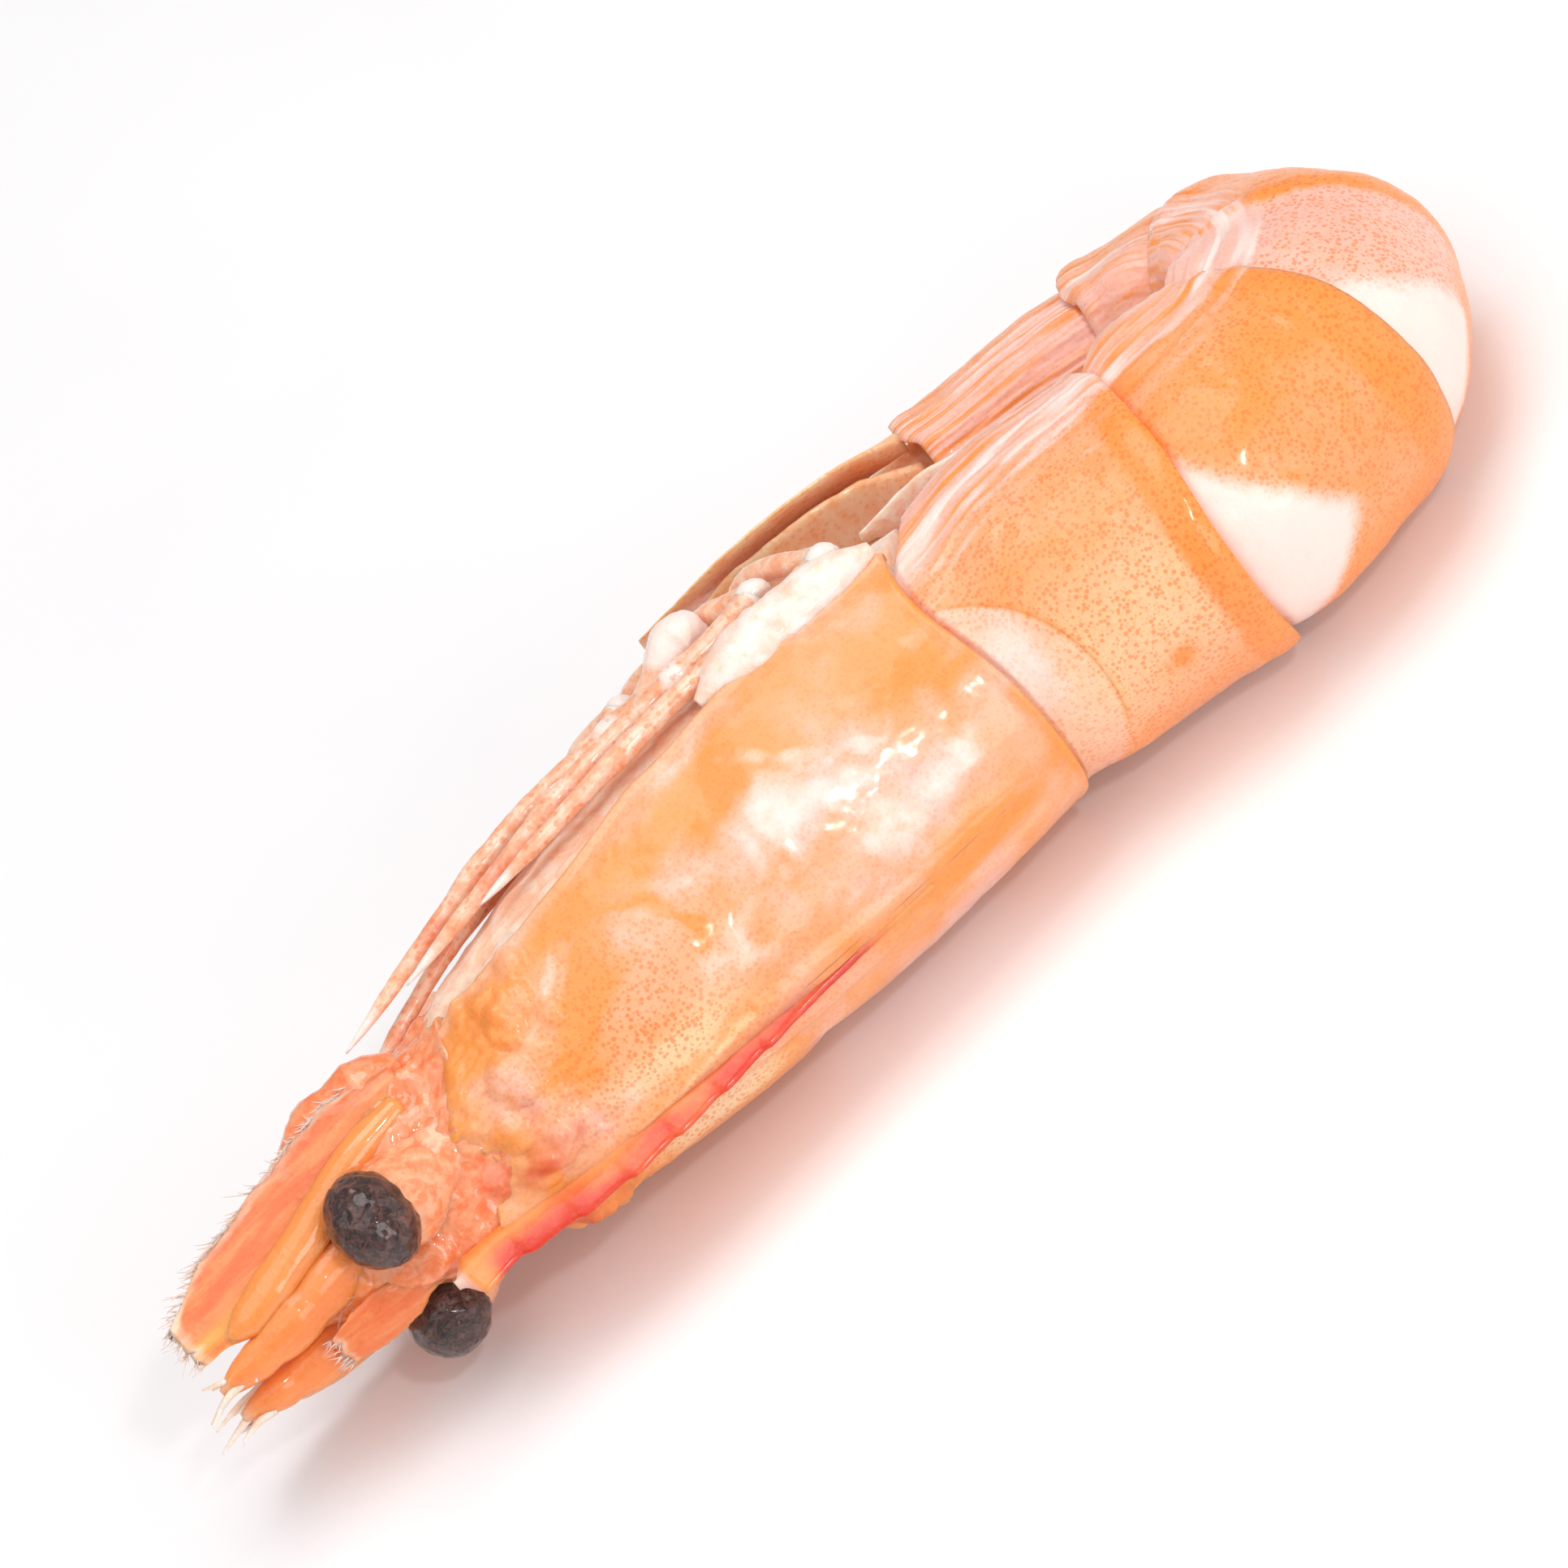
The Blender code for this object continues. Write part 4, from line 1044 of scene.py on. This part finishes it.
def make_eyes():
    for (sign, name), sideways in zip(SIDES, EYE_SIDEWAYS):
        centre = ahead(EYE_AHEAD, EYE_HEIGHT, sign * sideways)
        inward = ahead(2.5, 3.0, sign * 1.4) - centre
        inward /= np.linalg.norm(inward)
        second = np.cross(inward, [1.0, 0.0, 0.0])
        second /= np.linalg.norm(second)
        third = np.cross(inward, second)
        polar = np.linspace(0.03, np.pi - 0.03, 60)[:, None]
        turn = np.linspace(0, 2 * np.pi, 90, endpoint=False)[None, :]
        depth = -2.6 * np.cos(polar) + 0 * turn
        width = 3.1 * np.sin(polar) * np.cos(turn)
        height = 2.5 * np.sin(polar) * np.sin(turn)
        P = centre + depth[..., None] * inward + width[..., None] * second + height[..., None] * third
        dents = 0.030 * fractal(P, 1.5, 12) + 0.022 * fractal(P, 0.5, 13)
        dents -= 0.10 * ramp(depth, 1.7, 0.8)
        P = centre + (P - centre) * (0.985 + dents)[..., None]
        closed_skin(f"eyeball_{name}", P, EYE, zones_of(60, 90), node=f"eye_{name}", slot="eye")


def hairs(name, roots, ways, length, radius, material, seed, **more):
    """A fringe of fine tapering hairs, each curved a little, as one piece."""
    draw = np.random.default_rng(seed)
    verts, faces = [], []
    for root, way in zip(roots, ways):
        way = way / np.linalg.norm(way) + 0.28 * draw.normal(size=3)
        bow = 0.22 * draw.normal(size=3)
        side = np.cross(way, [0.3, 0.5, 0.8])
        side /= np.linalg.norm(side)
        other = np.cross(way, side)
        other /= np.linalg.norm(other)
        reach = length * draw.uniform(0.5, 1.25)
        first = len(verts)
        for share in (0.0, 0.35, 0.7):
            middle = root + reach * (share * way + share * share * bow)
            for angle in (0.0, 2.1, 4.2):
                wide = radius * (1.0 - 0.75 * share)
                verts.append(middle + wide * (math.cos(angle) * side + math.sin(angle) * other))
        verts.append(root + reach * (way + bow))
        for k in range(2):
            for j in range(3):
                i, n = first + 3 * k + j, first + 3 * k + (j + 1) % 3
                faces.append((i, n, n + 3, i + 3))
        for j in range(3):
            faces.append((first + 6 + j, first + 6 + (j + 1) % 3, first + 9))
        faces.append((first + 2, first + 1, first))
    new_piece(name, verts, faces, material, {"zones": np.zeros((len(verts), 4))}, **more)


SCALE_PATH = [(-2.0, -0.6, 6.0), (2.5, -0.4, 5.8), (7.0, 0.4, 5.2), (12.0, 1.1, 4.5), (16.8, 1.2, 3.8)]
RIB_PATH = [(-1.0, 0.5, 5.7), (3.5, 0.9, 5.3), (8.0, 1.8, 4.3), (12.5, 2.3, 3.4), (15.0, 2.2, 3.0)]


def make_scales():
    """The two long plates beside the feelers, each with a rib and a fringe."""
    for sign, name in SIDES:
        points = path_ahead(sign, SCALE_PATH)
        facing = np.array([0, -0.8, sign], float)
        sides, count = 40, 80
        widths, thick = [2.4, 4.0, 4.7, 5.2, 5.2, 3.0], [1.3, 1.3, 1.0, 0.8, 0.5, 0.25]
        rings, u = tube_rings(points, widths, thick, facing, sides, count)
        middle = rings.mean(axis=1, keepdims=True)
        angle = 2 * np.pi * (np.arange(sides) + 0.5) / sides
        inner = -np.cos(angle) * sign
        rings = swollen(rings, 1 + 0.07 * fractal(rings, 1.2, 15))
        lift = 0.5 * bell(inner - 0.35, 0.3) - 0.18 * bell(inner + 0.15, 0.12)
        lift += 0.12 * bell(inner + 0.5, 0.12)
        up = facing / np.linalg.norm(facing)
        rings += (lift * (np.sin(angle) < 0))[None, :, None] * (1 - 0.6 * u)[:, None, None] * up
        ragged = 0.6 * value_noise(rings * np.array([0.3, 2.2, 2.2]), 1.0, 16)
        rings[..., 0] += ragged * ramp(u, 0.85, 0.15)[:, None]
        across = inner[None, :] * np.ones((count, 1))
        zones = zones_of(
            count,
            sides,
            orange=0.75 * bell(across - 0.4, 0.4),
            white=0.6 * ramp(-across, 0.55, 0.4) + 0.55 * ramp(u, 0.92, 0.07)[:, None],
            red=0.22 * bell(across + 0.2, 0.25) * ramp(u, 0.1, 0.2)[:, None],
            dots=0.25,
        )
        node = f"antennal_scale_{name}"
        closed_skin(f"scale_blade_{name}", rings, SCALE, zones, node=node, slot="head")
        draw = np.random.default_rng(21)
        edge = int(np.argmin(inner))
        rows = draw.integers(8, count - 1, SCALE_EDGE_HAIRS)
        roots = rings[rows, edge]
        out = rings[rows, edge] - middle[rows, 0]
        run = np.gradient(middle[:, 0], axis=0)[rows]
        run_length = np.linalg.norm(run, axis=1, keepdims=True)
        ways = out / np.linalg.norm(out, axis=1, keepdims=True) * 0.45 + run / run_length
        tips = draw.integers(0, sides, SCALE_TIP_HAIRS)
        rib = path_ahead(sign, RIB_PATH)
        zones = zones_of(60, 18, orange=0.7, dots=0.3)
        widths, thick = [1.6, 2.2, 2.3, 2.6, 2.6, 2.2, 0.8], [1.6, 2.0, 2.0, 2.2, 2.2, 1.6, 0.6]
        tube(f"scale_rib_{name}", rib, widths, thick, facing, HEAD, zones, 0.05, node=node, slot="head")
        roots = np.concatenate([roots, rings[-1, tips]])
        ways = np.concatenate([ways, np.repeat(run[:1] / np.linalg.norm(run[0]), SCALE_TIP_HAIRS, 0)])
        hairs(f"scale_fringe_{name}", roots, ways, 0.8, 0.07, HAIR, 5, node=node, slot="head")


def make_torn_leaf():
    leaf = [ahead(2.4, 5.7, 0.2), ahead(6.2, 5.9, -0.3), ahead(10.6, 5.4, -0.6)]
    rings, u = tube_rings(leaf, [1.2, 2.0, 2.8, 2.9, 1.9], [1.0, 0.9, 0.7, 0.6, 0.3], (0, -1, 0.4), 20, 40)
    rings = swollen(rings, 1 + 0.12 * fractal(rings, 0.9, 33))
    ragged = 0.5 * value_noise(rings * np.array([0.3, 2.5, 2.5]), 1.0, 34)
    rings[..., 0] += ragged * ramp(u, 0.8, 0.2)[:, None]
    zones = zones_of(40, 20, 0.5 * (1 - u)[:, None], 0.55 * ramp(u, 0.9, 0.08)[:, None])
    more = {"node": "head_leaf", "slot": "head"}
    closed_skin("torn_leaf", rings, SCALE, zones, **more)
    ends = np.random.default_rng(8).integers(0, 20, LEAF_HAIRS)
    ways = [ahead(1.0) - ahead(0.0)] * LEAF_HAIRS
    hairs("torn_leaf_fringe", rings[-1, ends], ways, 0.7, 0.05, HAIR, 9, **more)


# The limbs

LEG_ROOTS = [-29.0, -24.5, -20.0, -15.5, -11.0]
LEG_KNEES = [-22.0, -17.5, -12.5, -8.0, -4.0]
LEG_TIPS = [-34.5, -43.0, -42.0, -37.0, -31.0]
RIGHT_LEG_ANGLES = [154.0, 144.0, 133.0, 121.5, 109.5]
LEFT_LEG_ANGLES = [-154.0, -144.5, -135.5, -126.0, -116.5]
LEG_LIFT = [0.0, 0.0, 0.9, 0.3, 0.2]
LEG_KNOBS = [1.0, 1.1, 1.25, 0.95, 0.85]
KNOB_SIZES = [0.75, 0.85, 1.7, 0.8, 0.75]
# Widths of a forearm, swollen at its joints, at shares of its length
LEG_PLACES = [0, 0.015, 0.04, 0.075, 0.11, 0.16, 0.36, 0.4, 0.43, 0.46, 0.68, 0.71, 0.74, 0.78, 0.9, 0.97, 1]
LEG_WIDTHS = [0.9, 1.6, 1.9, 1.85, 1.6, 1.5, 1.55, 1.85, 1.85, 1.45, 1.35, 1.5, 1.45, 1.15, 1.0, 0.5, 0.12]


def leg_part(node, part, points, widths, thick, zones, rough):
    tube(f"{node}_{part}", points, widths, thick, (0, 0, 1), LIMB, zones, rough, node=node, slot="limb")


def make_leg(node, sign, t, index):
    """A folded leg: a thigh back from its root, a knee, and a forearm forwards along the shell."""
    root, knee, tip, lift = LEG_ROOTS[index], LEG_KNEES[index], LEG_TIPS[index], LEG_LIFT[index]
    forearm = [
        beside(knee + 0.5, t, 2.2),
        beside(knee - 4.0, t, 1.45),
        beside((knee + tip) / 2, t, 1.15 + lift),
        beside(tip, t, 1.35 + 2.0 * lift),
    ]
    u = np.linspace(0, 1, 120)[:, None]
    white = 0.9 * smooth((0.05 - u) / 0.03) + 0.7 * bell(u - 0.42, 0.02) + 0.5 * ramp(u, 0.92, 0.05)
    red = 0.45 * bell(u - 0.82, 0.05) * (index in (2, 3))
    dots = 0.7 * ramp(u, 0.04, 0.05) * smooth((0.95 - u) / 0.05)
    shape = np.interp(u[:, 0], LEG_PLACES, LEG_WIDTHS)
    shape[u[:, 0] < 0.12] *= LEG_KNOBS[index]
    zones = zones_of(120, 16, 0.0, white + 0.38, red, dots)
    leg_part(node, "forearm", forearm, shape, 0.92 * shape, zones, 0.09)
    size = KNOB_SIZES[index]
    knob = [
        beside(knee + 0.9 + 0.5 * size, t, 1.9),
        beside(knee + 0.2, t, 2.3 + 0.4 * (size - 0.8)),
        beside(knee - 0.6 - 0.9 * size, t, 1.7),
        beside(knee - 1.4 - 1.8 * size, t, 1.5),
    ]
    widths = [size * w for w in (0.5, 1.3, 1.75, 1.9, 1.75, 1.5, 1.3, 1.1, 0.8, 0.5)]
    zones = zones_of(40, 20, white=1.0 - 0.8 * smooth((np.linspace(0, 1, 40)[:, None] - 0.45) / 0.3))
    leg_part(node, "knee", knob, widths, widths, zones, 0.13)
    thigh = [
        beside(root, sign * 175.0, 0.6),
        beside((root + knee) / 2, (t + sign * 172.0) / 2, 2.7),
        beside(knee + 0.3, t, 2.3),
    ]
    widths = [1.2, 1.3, 1.45, 1.5, 1.3]
    leg_part(node, "thigh", thigh, widths, widths, zones_of(30, 14, white=0.35), 0.08)


def make_legs():
    for (sign, name), angles in zip(SIDES, (RIGHT_LEG_ANGLES, LEFT_LEG_ANGLES)):
        for index, t in enumerate(angles):
            make_leg(f"leg_{name}_{index + 1}", sign, t, index)


def make_membranes():
    """Pale skin that swells out under the lower edge of the shell, over the roots of the last legs."""
    for sign, name in SIDES:
        path = [
            beside(-14.5, sign * 101.0, 0.2),
            beside(-10.5, sign * 102.0, 0.7),
            beside(-6.0, sign * 102.0, 0.9),
            beside(-1.5, sign * 100.0, 0.5),
        ]
        widths, thick = [0.8, 2.6, 3.4, 3.6, 3.4, 2.6, 1.0], [0.8, 1.6, 2.0, 2.2, 2.2, 1.8, 0.8]
        rings, _ = tube_rings(path, widths, thick, (0, -0.5, sign), 40, 90)
        rings = swollen(rings, 1 + 0.14 * fractal(rings, 2.2, 51) + 0.02 * fractal(rings, 0.5, 52))
        zones = zones_of(90, 40, white=0.5 + 0.3 * fractal(rings, 1.2, 53))
        closed_skin(f"gill_membrane_{name}", rings, MEMBRANE, zones, node="carapace", slot="limb")


def make_stubs():
    """Broken ends of the feelers, on the tips of the antennules."""
    draw = np.random.default_rng(31)
    for sign, name in SIDES:
        for number in range(4):
            root = ahead(14.6 + 0.5 * number, 3.3 + 0.5 * draw.normal(), sign * (1.5 + 0.4 * draw.normal()))
            lean = np.array([-1.0, 0.25 * draw.normal(), 0.25 * draw.normal() + 0.1])
            reach = draw.uniform(2.0, 3.4)
            points = [root, root + 0.5 * reach * lean, root + reach * lean + 0.3 * draw.normal(size=3)]
            widths = [0.8, 0.55, 0.42, 0.3, 0.1]
            stub = f"feeler_stub_{name}_{number + 1}"
            more = {"node": f"antennule_{name}", "slot": "head"}
            tube(stub, points, widths, widths, (0, 0, 1), HAIR, zones_of(20, 10), 0.1, **more)


def make_mouth_limbs():
    for sign, name in SIDES:
        points = [
            beside(-35.5, sign * 173.0, 1.2),
            beside(-39.0, sign * 172.0, 1.5),
            ahead(3.0, -6.8, sign * 1.4),
            ahead(11.0, -5.8, sign * 1.5),
        ]
        widths = [1.9, 2.1, 1.7, 2.0, 1.6, 0.6]
        more = {"node": f"mouth_limb_{name}", "slot": "limb"}
        tube(f"mouth_palp_{name}", points, widths, widths, (0, 0, 1), LIMB, zones_of(50, 16), 0.1, **more)


# Each pair's root along s, reach, drop below the belly and distance from the middle
SWIMMERETS = [(7.8, 8.6, 4.6, 3.0), (18.0, 9.0, 2.6, 2.9)]


def make_swimmerets():
    for index, (root, reach, drop, apart) in enumerate(SWIMMERETS):
        depth = float(along(ABDOMEN_OUTLINE, np.float64(root), 3))
        facing = frames(root)[2]
        for sign, name in SIDES:
            node = f"swimmeret_{name}_{index + 1}"
            blade = [
                at(root - 0.3, -depth - drop - 0.5, sign * apart),
                at(root - 0.5 * reach, -depth - drop - 0.4, sign * apart),
                at(root - reach, -depth - drop + 0.2, sign * (apart + 0.2)),
            ]
            more = {"node": node, "slot": "swimmeret"}
            widths, thick = [2.2, 3.6, 3.4, 2.4, 0.6], [1.2, 1.0, 0.7, 0.5, 0.25]
            tube(f"{node}_blade", blade, widths, thick, facing, LEAF, zones_of(40, 18), 0.08, **more)
            stem = [at(root, -depth - 0.2, sign * apart), at(root - 0.9, -depth - drop - 0.6, sign * apart)]
            widths, thick = [2.5, 2.1], [1.6, 1.4]
            tube(f"{node}_stem", stem, widths, thick, (1, 0, 0), LEAF, zones_of(16, 16), 0.08, **more)


# Studio

VIEW = Vector((-0.10, -0.76, 0.64)).normalized()
HEAD_TURN = 223.0
FOCAL_PIXELS = 8000.0
PIXELS_PER_MM = 9.8
FRAME_PIXELS = 1932
CLOSER = 2.22
SENSOR_WIDTH = 36.0
FLOOR_HALF = 1.6
LIGHT_REACH = 0.55
SKY_STRENGTH = 0.38
AIM_HEIGHT = 0.010


def camera_axes():
    head = Vector((-1.0, 0.0, 0.0))
    flat = (head - head.dot(VIEW) * VIEW).normalized()
    other = VIEW.cross(flat)
    turn = math.radians(HEAD_TURN)
    across = math.cos(turn) * flat - math.sin(turn) * other
    up = math.sin(turn) * flat + math.cos(turn) * other
    return across, up


def make_studio():
    across, up = camera_axes()
    distance = FOCAL_PIXELS / PIXELS_PER_MM * MM
    low, high = cad_box
    target = Vector(((low[0] + high[0]) / 2, (low[1] + high[1]) / 2, AIM_HEIGHT))
    target += 0.001 * across - 0.0015 * up
    camera = bpy.data.cameras.new("camera")
    camera.sensor_width = SENSOR_WIDTH
    camera.lens = FOCAL_PIXELS / FRAME_PIXELS * SENSOR_WIDTH * CLOSER
    camera.clip_start = 0.01
    holder = bpy.data.objects.new("camera", camera)
    bpy.context.scene.collection.objects.link(holder)
    place = target + distance * VIEW
    holder.matrix_world = Matrix(
        (
            (across.x, up.x, VIEW.x, place.x),
            (across.y, up.y, VIEW.y, place.y),
            (across.z, up.z, VIEW.z, place.z),
            (0.0, 0.0, 0.0, 1.0),
        )
    )
    bpy.context.scene.camera = holder

    mesh = bpy.data.meshes.new("floor")
    corners = [(x * FLOOR_HALF, y * FLOOR_HALF, 0) for x, y in ((-1, -1), (1, -1), (1, 1), (-1, 1))]
    mesh.from_pydata(corners, [], [(0, 1, 2, 3)])
    mesh.materials.append(floor_material())
    floor = bpy.data.objects.new("floor", mesh)
    bpy.context.scene.collection.objects.link(floor)

    def panel(name, direction, power, size):
        light = bpy.data.lights.new(name, "AREA")
        light.energy = power
        light.size = size
        lamp = bpy.data.objects.new(name, light)
        bpy.context.scene.collection.objects.link(lamp)
        direction = direction.normalized()
        lamp.location = target + LIGHT_REACH * direction
        lamp.rotation_mode = "QUATERNION"
        lamp.rotation_quaternion = direction.to_track_quat("Z", "Y")

    panel("key", 0.75 * up + 0.45 * VIEW - 0.25 * across + Vector((0, 0, 0.5)), 1.35, 0.34)
    panel("front", 0.40 * across - 0.05 * up + 0.90 * VIEW, 0.72, 0.24)
    panel("glint", 0.25 * up + 0.1 * across + VIEW, 0.36, 0.035)
    panel("fill", -0.8 * across + 0.9 * VIEW + Vector((0, 0, 0.3)), 0.95, 0.5)
    panel("rim", 0.9 * across + 0.4 * up + Vector((0, 0, 0.6)), 0.5, 0.4)
    world = bpy.data.worlds.new("studio")
    world.use_nodes = True
    sky = world.node_tree.nodes["Background"]
    sky.inputs[0].default_value = (1.0, 0.99, 0.98, 1.0)
    sky.inputs[1].default_value = SKY_STRENGTH
    bpy.context.scene.world = world
    bpy.context.scene.view_settings.view_transform = "Standard"


make_studio()
make_carapace()
make_body_core()
make_keel()
for number in range(6):
    make_segment(number)
make_tail()
make_head()
make_head_hairs()
make_eyes()
make_scales()
make_torn_leaf()
make_legs()
make_membranes()
make_stubs()
make_mouth_limbs()
make_swimmerets()
